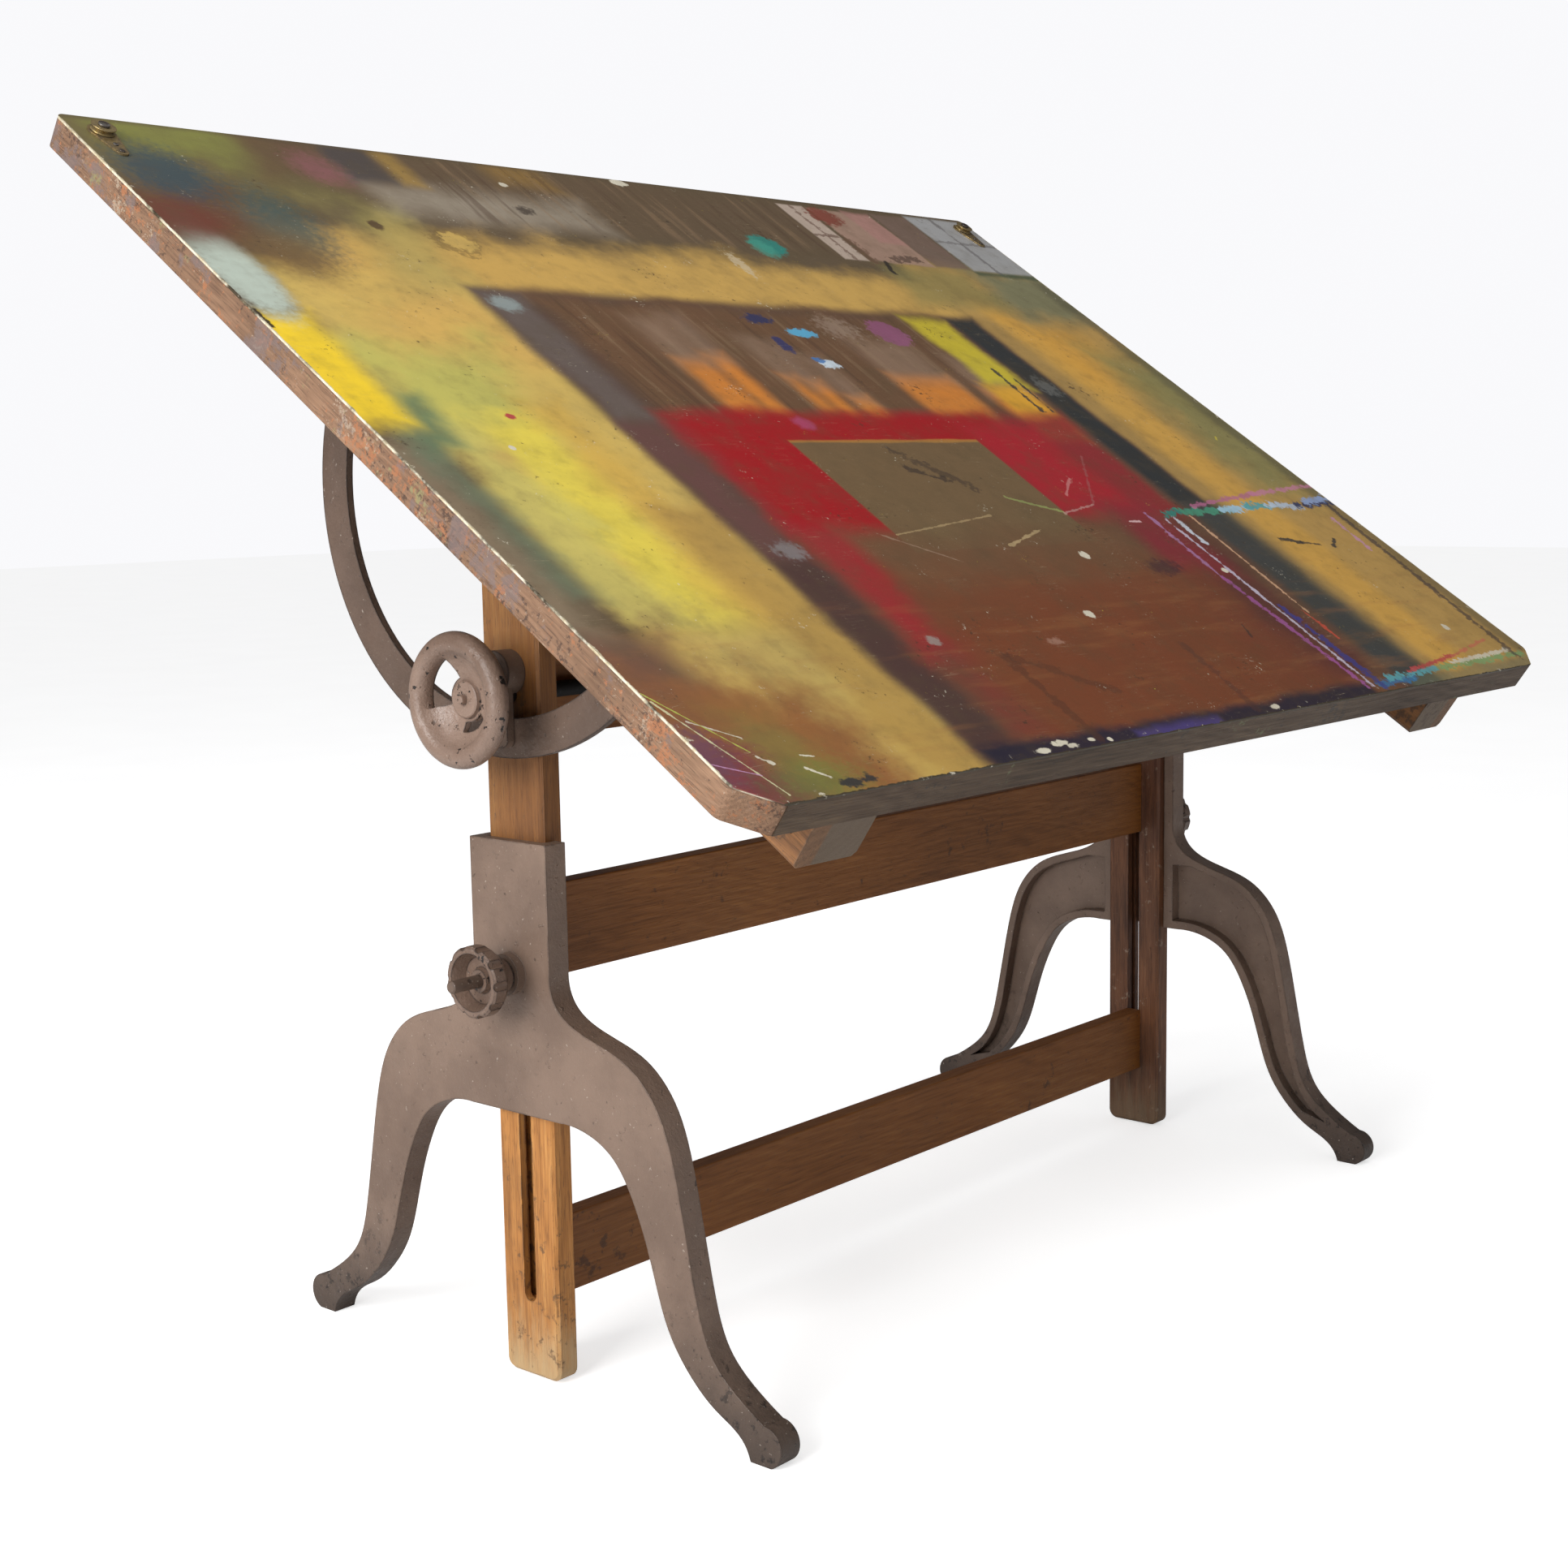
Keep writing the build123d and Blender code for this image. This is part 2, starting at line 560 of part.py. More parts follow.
def make_pivot_bracket(side):
    """Iron cap on the post's top that carries the pivot pin."""
    half = BRACKET_PLATE_WIDTH / 2
    back_x = POST_INNER_X - BRACKET_PLATE_THICK
    upright = make_face(
        Polyline(
            (-half, POST_TOP - BRACKET_PLATE_DROP),
            (half, POST_TOP - BRACKET_PLATE_DROP),
            (half, POST_TOP + BRACKET_CAP_THICK),
            (BRACKET_EYE_RADIUS, PIVOT_Z),
            (-BRACKET_EYE_RADIUS, PIVOT_Z),
            (-half, POST_TOP + BRACKET_CAP_THICK),
            close=True,
        )
    )
    bracket = x_prism(upright, back_x, POST_INNER_X)
    cap_x = POST_FACE_X - BRACKET_CAP_SETBACK
    cap_top = POST_TOP + BRACKET_CAP_THICK
    bracket = bracket + span_box(back_x, cap_x, -half, half, POST_TOP, cap_top)
    bracket = bracket + x_rod(BRACKET_EYE_RADIUS, back_x, POST_FACE_X, 0, PIVOT_Z)
    rib_x = POST_FACE_X - BRACKET_RIB_SETBACK
    rib_half = BRACKET_RIB_THICK / 2
    bracket = bracket + span_box(back_x, rib_x, -rib_half, rib_half, POST_TOP, PIVOT_Z)
    bracket = bracket - x_rod(PIVOT_PIN_RADIUS, back_x - 1, POST_FACE_X + 1, 0, PIVOT_Z)
    for y, z in bracket_screw_places():
        bracket = bracket - x_rod(BRACKET_SCREW_RADIUS, back_x - 1, POST_INNER_X + 1, y, z)
    return bracket if side > 0 else mirror(bracket, about=Plane.YZ)


def make_pivot_pin(side):
    """Headed pin through bracket and quadrant, with its nut as one piece."""
    back_x = POST_INNER_X - BRACKET_PLATE_THICK
    nut_start = QUADRANT_X + QUADRANT_THICK + FACE_PLAY
    nut_end = nut_start + PIN_NUT_THICK
    head_x = back_x - PIN_HEAD_THICK
    pin = x_rod(PIVOT_PIN_RADIUS, head_x, nut_end + PIN_END_SHOW, 0, PIVOT_Z)
    pin = pin + x_rod(PIVOT_PIN_RADIUS + PIN_HEAD_EXTRA, head_x, back_x, 0, PIVOT_Z)
    pin = pin + x_hexagon(PIVOT_PIN_RADIUS + PIN_NUT_EXTRA, nut_start, nut_end, PIVOT_Z)
    return pin if side > 0 else mirror(pin, about=Plane.YZ)


def make_bracket_screws():
    """Wood screws of both brackets."""
    screws = []
    face_x = POST_INNER_X - BRACKET_PLATE_THICK
    for side in SIDES.values():
        for y, z in bracket_screw_places():
            screw = x_rod(BRACKET_SCREW_RADIUS, face_x, POST_INNER_X + BRACKET_SCREW_LENGTH, y, z)
            head_x = face_x - SCREW_HEAD_THICK
            screw = screw + x_rod(2 * BRACKET_SCREW_RADIUS, head_x, face_x, y, z)
            screws.append(screw if side > 0 else mirror(screw, about=Plane.YZ))
    return solids_of(screws)


# ---------------------------------------------------------------- board
def board_outline():
    """Board's plan: cut low corners, slightly rounded high corners."""
    half = BOARD_LENGTH / 2
    outline = make_face(
        Polyline(
            (-half + LOW_CORNER_X, -BOARD_BELOW),
            (half - LOW_CORNER_X, -BOARD_BELOW),
            (half, -BOARD_BELOW + LOW_CORNER_Y),
            (half, BOARD_ABOVE),
            (-half, BOARD_ABOVE),
            (-half, -BOARD_BELOW + LOW_CORNER_Y),
            close=True,
        )
    )
    high = outline.vertices().group_by(Axis.Y)[-1]
    outline = fillet(high, HIGH_CORNER_ROUND)
    low = outline.vertices().group_by(Axis.Y)[:2]
    cut = [vertex for group in low for vertex in group]
    return fillet(cut, LOW_CORNER_ROUND)


def board_strip(x0, x1, z0, z1):
    """Part of the board between two X planes and two heights, level."""
    slab = Pos(0, 0, z0) * extrude(board_outline(), amount=z1 - z0)
    return slab & span_box(x0, x1, -BOARD_BELOW - 5, BOARD_ABOVE + 5, z0, z1)


def make_quadrant(side):
    """Iron quadrant: half ring, flange under the board, and a lug with the pivot eye."""
    inner_radius = QUADRANT_OUTER - QUADRANT_WIDTH
    flange_top = BOARD_OVER_PIVOT
    flange_low = flange_top - QUADRANT_FLANGE_THICK
    ring = Circle(QUADRANT_OUTER) - Circle(inner_radius)
    below = Pos(0, flange_low / 2 - QUADRANT_OUTER) * Rectangle(
        3 * QUADRANT_OUTER, 2 * QUADRANT_OUTER + flange_low
    )
    iron = x_prism(ring & below, QUADRANT_X, QUADRANT_X + QUADRANT_THICK)
    half_flange = QUADRANT_FLANGE_WIDTH / 2
    iron = iron + span_box(
        QUADRANT_MIDDLE_X - half_flange,
        QUADRANT_MIDDLE_X + half_flange,
        -QUADRANT_OUTER,
        QUADRANT_OUTER,
        flange_low,
        flange_top,
    )
    lug = make_face(
        Polyline(
            (-QUADRANT_LUG_HALF, flange_low),
            (QUADRANT_LUG_HALF, flange_low),
            (QUADRANT_EYE_RADIUS, 0),
            (-QUADRANT_EYE_RADIUS, 0),
            close=True,
        )
    )
    iron = iron + x_prism(lug, QUADRANT_X, QUADRANT_X + QUADRANT_THICK)
    iron = iron + x_rod(QUADRANT_EYE_RADIUS, QUADRANT_X, QUADRANT_X + QUADRANT_THICK)
    iron = iron - x_rod(
        PIVOT_PIN_RADIUS + RUNNING_FIT, QUADRANT_X - 1, QUADRANT_X + QUADRANT_THICK + 1
    )
    for x, y in quadrant_screw_places():
        iron = iron - Pos(x, y, flange_top) * Cylinder(QUADRANT_SCREW_RADIUS, 30)
    iron = iron if side > 0 else mirror(iron, about=Plane.YZ)
    return on_board(iron)


def quadrant_screw_places():
    """(X, Y) of the flange screws on the +X side, level board frame."""
    spread = QUADRANT_FLANGE_WIDTH / 2 - QUADRANT_SCREW_EDGE
    reach = QUADRANT_OUTER - QUADRANT_SCREW_END
    rows = (-reach, -QUADRANT_SCREW_ROW, QUADRANT_SCREW_ROW, reach)
    return [(QUADRANT_MIDDLE_X + dx, y) for y in rows for dx in (-spread, spread)]


def underside_screw(x, y, seat_z, radius, length):
    """Round-headed screw driven up into the board from a seat facing down."""
    shank = Pos(x, y, seat_z + length / 2) * Cylinder(radius, length)
    head = Pos(x, y, seat_z - radius * 0.5) * Cylinder(2 * radius, radius)
    return shank + head


def make_quadrant_screws():
    """Screws that hold both quadrants to the board."""
    seat = BOARD_OVER_PIVOT - QUADRANT_FLANGE_THICK
    screws = []
    for side in SIDES.values():
        for x, y in quadrant_screw_places():
            screw = underside_screw(
                side * x, y, seat, QUADRANT_SCREW_RADIUS, QUADRANT_SCREW_LENGTH
            )
            screws.append(on_board(screw))
    return solids_of(screws)


def batten_ends(end):
    """Y range of a front (-1) or back (+1) batten in the level board frame."""
    if end < 0:
        return -BOARD_BELOW + BATTEN_SETBACK, -BATTEN_INNER_END
    return BATTEN_INNER_END, BOARD_ABOVE - BATTEN_BACK_SETBACK


def batten_screw_places(side, end):
    """(X, Y) of the two screws in one batten."""
    low, high = batten_ends(end)
    reach = high - low
    return [(side * QUADRANT_MIDDLE_X, low + reach * share) for share in BATTEN_SCREW_SHARES]


def make_batten(side, end):
    """Deep hardwood batten screwed under the board."""
    low, high = batten_ends(end)
    bottom = BOARD_OVER_PIVOT - BATTEN_DEPTH
    half = BATTEN_WIDTH / 2
    batten = span_box(-half, half, low, high, bottom, BOARD_OVER_PIVOT)
    long_edges = batten.edges().filter_by(Axis.Y).group_by(Axis.Z)[0]
    batten = chamfer(long_edges, BATTEN_CHAMFER)
    batten = Pos(side * QUADRANT_MIDDLE_X, 0, 0) * batten
    for x, y in batten_screw_places(side, end):
        bore_z = bottom + BATTEN_BORE_DEPTH / 2
        bore = Pos(x, y, bore_z) * Cylinder(BATTEN_BORE_RADIUS, BATTEN_BORE_DEPTH)
        hole_z = bottom + BATTEN_DEPTH / 2
        hole = Pos(x, y, hole_z) * Cylinder(BATTEN_SCREW_RADIUS, BATTEN_DEPTH + 2)
        batten = batten - bore - hole
    return on_board(batten)


def make_batten_screws():
    """Screws that hold the four battens."""
    seat = BOARD_OVER_PIVOT - BATTEN_DEPTH + BATTEN_BORE_DEPTH
    screws = []
    for side in SIDES.values():
        for end in (-1, 1):
            for x, y in batten_screw_places(side, end):
                screw = underside_screw(x, y, seat, BATTEN_SCREW_RADIUS, BATTEN_SCREW_LENGTH)
                screws.append(on_board(screw))
    return solids_of(screws)


def board_screw_holes():
    """Level-frame cylinders for every screw that enters the board from below."""
    holes = []
    flange_z = BOARD_OVER_PIVOT - QUADRANT_FLANGE_THICK + QUADRANT_SCREW_LENGTH / 2
    batten_z = BOARD_OVER_PIVOT - BATTEN_DEPTH + BATTEN_BORE_DEPTH + BATTEN_SCREW_LENGTH / 2
    for side in SIDES.values():
        for x, y in quadrant_screw_places():
            hole = Cylinder(QUADRANT_SCREW_RADIUS, QUADRANT_SCREW_LENGTH)
            holes.append(Pos(side * x, y, flange_z) * hole)
        for end in (-1, 1):
            for x, y in batten_screw_places(side, end):
                hole = Cylinder(BATTEN_SCREW_RADIUS, BATTEN_SCREW_LENGTH)
                holes.append(Pos(x, y, batten_z) * hole)
    return holes


def make_board_panel():
    """Main panel between the end cleats."""
    reach = BOARD_LENGTH / 2 - END_CLEAT_WIDTH
    bottom = BOARD_OVER_PIVOT
    panel = board_strip(-reach, reach, bottom, bottom + BOARD_THICK)
    for hole in board_screw_holes():
        panel = panel - hole
    return on_board(panel)


def make_end_cleat(side):
    """Cleat across the panel's end grain."""
    half = BOARD_LENGTH / 2
    bottom = BOARD_OVER_PIVOT
    cleat = board_strip(
        side * half, side * (half - END_CLEAT_WIDTH), bottom, bottom + BOARD_THICK
    )
    return on_board(cleat)


def make_cover():
    """Thin covering sheet on top of the board."""
    half = BOARD_LENGTH / 2
    low = BOARD_OVER_PIVOT + BOARD_THICK
    cover = board_strip(-half, half, low, low + COVER_THICK)
    for side in SIDES.values():
        for x, y in plate_screw_places(side):
            cover = cover - Pos(x, y, low) * Cylinder(PLATE_SCREW_RADIUS, 3 * COVER_THICK)
    return on_board(cover)


# ---------------------------------------------------------------- corner pulleys
def pulley_centre(side):
    """(X, Y) of a pulley's axle in the level board frame."""
    return side * (BOARD_LENGTH / 2 - PULLEY_INSET_X), BOARD_ABOVE - PULLEY_INSET_Y


def plate_screw_places(side):
    """(X, Y) of the small screws in one pulley plate."""
    x, y = pulley_centre(side)
    tail = y - PULLEY_TAIL_LENGTH
    return [(x, tail), (x, tail + PLATE_SCREW_PITCH), (x, y)]


def make_pulley_plate(side):
    """Teardrop plate under a corner pulley, its tail towards the user."""
    x, y = pulley_centre(side)
    big = Circle(PULLEY_PLATE_RADIUS)
    small = Pos(0, -PULLEY_TAIL_LENGTH) * Circle(PULLEY_TAIL_RADIUS)
    flank = make_face(
        Polyline(
            (-PULLEY_PLATE_RADIUS, 0),
            (-PULLEY_TAIL_RADIUS, -PULLEY_TAIL_LENGTH),
            (PULLEY_TAIL_RADIUS, -PULLEY_TAIL_LENGTH),
            (PULLEY_PLATE_RADIUS, 0),
            close=True,
        )
    )
    outline = big + flank + small
    plate = Pos(x, y, BOARD_TOP) * extrude(outline, amount=PULLEY_PLATE_THICK)
    for sx, sy in plate_screw_places(side):
        hole = Cylinder(PLATE_SCREW_RADIUS, 4 * PULLEY_PLATE_THICK)
        plate = plate - Pos(sx, sy, BOARD_TOP) * hole
    return on_board(plate)


def make_plate_screws():
    """Small screws in both plates' tails."""
    screws = []
    seat = BOARD_TOP + PULLEY_PLATE_THICK
    for side in SIDES.values():
        for x, y in plate_screw_places(side)[:2]:
            length = PULLEY_PLATE_THICK + COVER_THICK
            shank = Pos(x, y, seat - length / 2) * Cylinder(PLATE_SCREW_RADIUS, length)
            head_z = seat + PLATE_SCREW_HEAD_THICK / 2
            head = Pos(x, y, head_z) * Cylinder(2 * PLATE_SCREW_RADIUS, PLATE_SCREW_HEAD_THICK)
            screws.append(on_board(shank + head))
    return solids_of(screws)


def make_pulley_axles():
    """Headed axle screw of each pulley, standing on its plate."""
    axles = []
    seat = BOARD_TOP + PULLEY_PLATE_THICK
    lift = 2 * FACE_PLAY
    for side in SIDES.values():
        x, y = pulley_centre(side)
        top = seat + PULLEY_THICK + lift
        stem = Pos(x, y, (seat + top) / 2) * Cylinder(PULLEY_AXLE_RADIUS, top - seat)
        head_z = top + AXLE_HEAD_THICK / 2
        head = Pos(x, y, head_z) * Cylinder(AXLE_HEAD_RADIUS, AXLE_HEAD_THICK)
        foot_z = seat - AXLE_FOOT_LENGTH / 2
        foot = Pos(x, y, foot_z) * Cylinder(PLATE_SCREW_RADIUS, AXLE_FOOT_LENGTH)
        axles.append(on_board(stem + head + foot))
    return solids_of(axles)


def make_pulley(side):
    """Grooved pulley on its axle."""
    x, y = pulley_centre(side)
    half = PULLEY_THICK / 2
    profile = Polyline(
        (PULLEY_AXLE_RADIUS + RUNNING_FIT, -half),
        (PULLEY_RADIUS, -half),
        (PULLEY_RADIUS, -half + PULLEY_LIP),
        (PULLEY_RADIUS - PULLEY_GROOVE_DEPTH, 0),
        (PULLEY_RADIUS, half - PULLEY_LIP),
        (PULLEY_RADIUS, half),
        (PULLEY_AXLE_RADIUS + RUNNING_FIT, half),
        close=True,
    )
    pulley = revolve(Plane.XZ * make_face(profile), Axis.Z, 360)
    height = BOARD_TOP + PULLEY_PLATE_THICK + FACE_PLAY + half
    return on_board(Pos(x, y, height) * pulley)


# ---------------------------------------------------------------- assembly
def build():
    """Make every piece."""
    for name, side in SIDES.items():
        add(f"leg_{name}", make_leg(side))
        add(f"post_{name}", make_post(side))
        add(f"height_knob_{name}", make_height_knob(side))
        add(f"clamp_plate_{name}", make_clamp_plate(side))
        add(f"pivot_bracket_{name}", make_pivot_bracket(side))
        add(f"quadrant_{name}", make_quadrant(side))
        add(f"end_cleat_{name}", make_end_cleat(side))
        add(f"batten_front_{name}", make_batten(side, -1))
        add(f"batten_back_{name}", make_batten(side, 1))
        add(f"pulley_plate_{name}", make_pulley_plate(side))
        add(f"pulley_{name}", make_pulley(side))
    both = SIDES.values()
    add("stretcher_lower", make_stretcher(LOWER_STRETCHER_BOTTOM, LOWER_STRETCHER_HEIGHT))
    add("stretcher_upper", make_stretcher(UPPER_STRETCHER_BOTTOM, UPPER_STRETCHER_HEIGHT))
    add("top_rail", make_top_rail())
    add("height_bolts", solids_of([make_height_bolt(side) for side in both]))
    add("height_washers", solids_of([make_height_washer(side) for side in both]))
    add("tie_rod", make_tie_rod())
    add("handwheel", make_handwheel())
    add("rod_nut", make_rod_nut())
    add("pivot_pins", solids_of([make_pivot_pin(side) for side in both]))
    add("bracket_screws", make_bracket_screws())
    add("board_panel", make_board_panel())
    add("board_cover", make_cover())
    add("quadrant_screws", make_quadrant_screws())
    add("batten_screws", make_batten_screws())
    add("plate_screws", make_plate_screws())
    add("pulley_axles", make_pulley_axles())


build()
os.makedirs("parts", exist_ok=True)
for node, piece in PARTS.items():
    export_step(piece, f"parts/{node}.step")
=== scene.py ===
"""Looks of an adjustable drafting table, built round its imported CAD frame.

Lengths are metres in the frame of the CAD: +X along the board, -Y towards the
user, +Z up, origin on the floor midway between the feet.
"""
import json
import logging
import math
from dataclasses import dataclass, field
from enum import Enum
from typing import Iterable, Optional, Sequence, Tuple, Union

import bmesh
import bpy
from mathutils import Matrix, Vector


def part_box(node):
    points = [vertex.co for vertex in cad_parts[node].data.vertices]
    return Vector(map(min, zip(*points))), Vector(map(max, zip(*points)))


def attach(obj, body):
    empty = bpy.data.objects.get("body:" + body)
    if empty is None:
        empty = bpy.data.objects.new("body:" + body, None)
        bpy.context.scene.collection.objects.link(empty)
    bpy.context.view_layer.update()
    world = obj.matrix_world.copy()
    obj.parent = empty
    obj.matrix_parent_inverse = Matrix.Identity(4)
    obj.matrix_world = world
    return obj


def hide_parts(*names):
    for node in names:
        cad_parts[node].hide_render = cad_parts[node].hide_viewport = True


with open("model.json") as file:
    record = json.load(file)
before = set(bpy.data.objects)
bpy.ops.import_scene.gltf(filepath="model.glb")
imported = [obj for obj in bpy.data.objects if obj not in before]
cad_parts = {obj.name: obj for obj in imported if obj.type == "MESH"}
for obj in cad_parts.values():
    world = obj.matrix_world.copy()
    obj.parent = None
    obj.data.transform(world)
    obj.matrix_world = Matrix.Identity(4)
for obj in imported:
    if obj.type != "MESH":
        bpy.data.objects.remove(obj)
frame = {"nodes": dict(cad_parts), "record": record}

LOG = logging.getLogger("drafting_table")
Colour = Tuple[float, float, float]
Outline = Tuple[Tuple[float, float], ...]
Plug = Union[float, Sequence[float], bpy.types.NodeSocket]

PIVOT_Z = 0.893
TILT = math.radians(34.3)
BOARD_HALF = 0.762
BOARD_HIGH = 0.575
BOARD_LOW = -0.535
BOARD_TOP = 0.0625
MM = 1000.0
SIDES = ("left", "right")


def paint(red: int, green: int, blue: int) -> Colour:
    """Turns a display colour into linear light.

    Args:
        red: Red, from 0 to 255.
        green: Green, from 0 to 255.
        blue: Blue, from 0 to 255.

    Returns:
        The three linear channels.
    """
    channels = []
    for level in (red, green, blue):
        share = level / 255
        channels.append(share / 12.92 if share <= 0.04045 else ((share + 0.055) / 1.055) ** 2.4)
    return tuple(channels)


class Grain(Enum):
    """Which way a timber's grain runs, as the turn that lays it along X."""

    ALONG_X = (0.0, 0.0, 0.0)
    ALONG_Y = (0.0, 0.0, math.pi / 2)
    ALONG_Z = (0.0, math.pi / 2, 0.0)


# ------------------------------------------------------------------ node graphs
class Graph:
    """Adds and joins the nodes of one material, group or world."""

    def __init__(self, tree: bpy.types.NodeTree) -> None:
        """Starts on an empty or a new tree."""
        self.tree = tree

    def add(self, kind: str, settings: Optional[dict] = None, **plugs: Plug) -> bpy.types.Node:
        """Adds one node.

        Args:
            kind: The node's type, without the leading ShaderNode.
            settings: Properties to set on the node.
            plugs: Input sockets by name, underscores for spaces, as values or sockets.

        Returns:
            The new node.
        """
        node = self.tree.nodes.new("ShaderNode" + kind)
        for name, value in (settings or {}).items():
            setattr(node, name, value)
        for name, value in plugs.items():
            self.plug(node.inputs[name.replace("_", " ")], value)
        return node

    def plug(self, socket: bpy.types.NodeSocket, value: Plug) -> None:
        """Links a socket, or sets its own value.

        Args:
            socket: The input socket.
            value: An output socket to link, or a plain value.
        """
        if isinstance(value, bpy.types.NodeSocket):
            self.tree.links.new(value, socket)
            return
        if socket.type == "RGBA" and len(value) == 3:
            value = (*value, 1.0)
        socket.default_value = value

    def maths(self, operation: str, *values: Plug, clamp: bool = False) -> bpy.types.NodeSocket:
        """Adds a Math node.

        Args:
            operation: What it does to its inputs.
            values: Its inputs in order.
            clamp: Whether the result is held between 0 and 1.

        Returns:
            The result.
        """
        node = self.add("Math", {"operation": operation, "use_clamp": clamp})
        for index, value in enumerate(values):
            self.plug(node.inputs[index], value)
        return node.outputs[0]

    def vector(self, operation: str, *values: Plug, out: str = "Vector") -> bpy.types.NodeSocket:
        """Adds a Vector Math node.

        Args:
            operation: What it does to its inputs.
            values: Its inputs in order.
            out: The name of the output that is wanted.

        Returns:
            The named output.
        """
        node = self.add("VectorMath", {"operation": operation})
        for index, value in enumerate(values):
            self.plug(node.inputs[index], value)
        return node.outputs[out]

    def blend(self, share: Plug, below: Plug, above: Plug, mode: str = "MIX") -> bpy.types.NodeSocket:
        """Lays one colour over another.

        Args:
            share: How much of the upper colour shows.
            below: The lower colour.
            above: The upper colour.
            mode: How the two are blended.

        Returns:
            The blended colour.
        """
        node = self.add("Mix", {"data_type": "RGBA", "blend_type": mode})
        self.plug(node.inputs[0], share)
        self.plug(node.inputs[6], below)
        self.plug(node.inputs[7], above)
        return node.outputs[2]

    def between(self, share: Plug, low: Plug, high: Plug) -> bpy.types.NodeSocket:
        """Mixes two numbers.

        Args:
            share: Where the result lies, from low at 0 to high at 1.
            low: The first number.
            high: The second number.

        Returns:
            The mixed number.
        """
        node = self.add("Mix", {"data_type": "FLOAT"})
        for index, value in ((0, share), (2, low), (3, high)):
            self.plug(node.inputs[index], value)
        return node.outputs[0]

    def remap(self, value: Plug, low: Plug, high: Plug, to_low: Plug = 0.0, to_high: Plug = 1.0,
              smooth: bool = True) -> bpy.types.NodeSocket:
        """Moves a number from one range to another and holds it there.

        Args:
            value: The number.
            low: Start of its range.
            high: End of its range.
            to_low: Start of the new range.
            to_high: End of the new range.
            smooth: Whether it eases in and out.

        Returns:
            The moved number.
        """
        kind = "SMOOTHSTEP" if smooth else "LINEAR"
        node = self.add("MapRange", {"interpolation_type": kind})
        for index, item in enumerate((value, low, high, to_low, to_high)):
            self.plug(node.inputs[index], item)
        return node.outputs[0]

    def noise(self, where: Plug, scale: Plug, detail: float = 3.0, rough: float = 0.55,
              bend: float = 0.0) -> bpy.types.NodeSocket:
        """Adds a noise.

        Args:
            where: The coordinates.
            scale: How fine it is.
            detail: Layers of finer noise.
            rough: Weight of the finer layers.
            bend: How far it is distorted.

        Returns:
            The noise, between 0 and 1.
        """
        node = self.add("TexNoise", Vector=where, Scale=scale, Detail=detail, Roughness=rough,
                        Distortion=bend)
        return node.outputs[0]

    def use(self, group: bpy.types.NodeTree, **plugs: Plug) -> bpy.types.Node:
        """Places a shared node group.

        Args:
            group: The group.
            plugs: Its inputs by name, underscores for spaces, as values or sockets.

        Returns:
            The group's node.
        """
        node = self.add("Group", {"node_tree": group})
        for name, value in plugs.items():
            self.plug(node.inputs[name.replace("_", " ")], value)
        return node


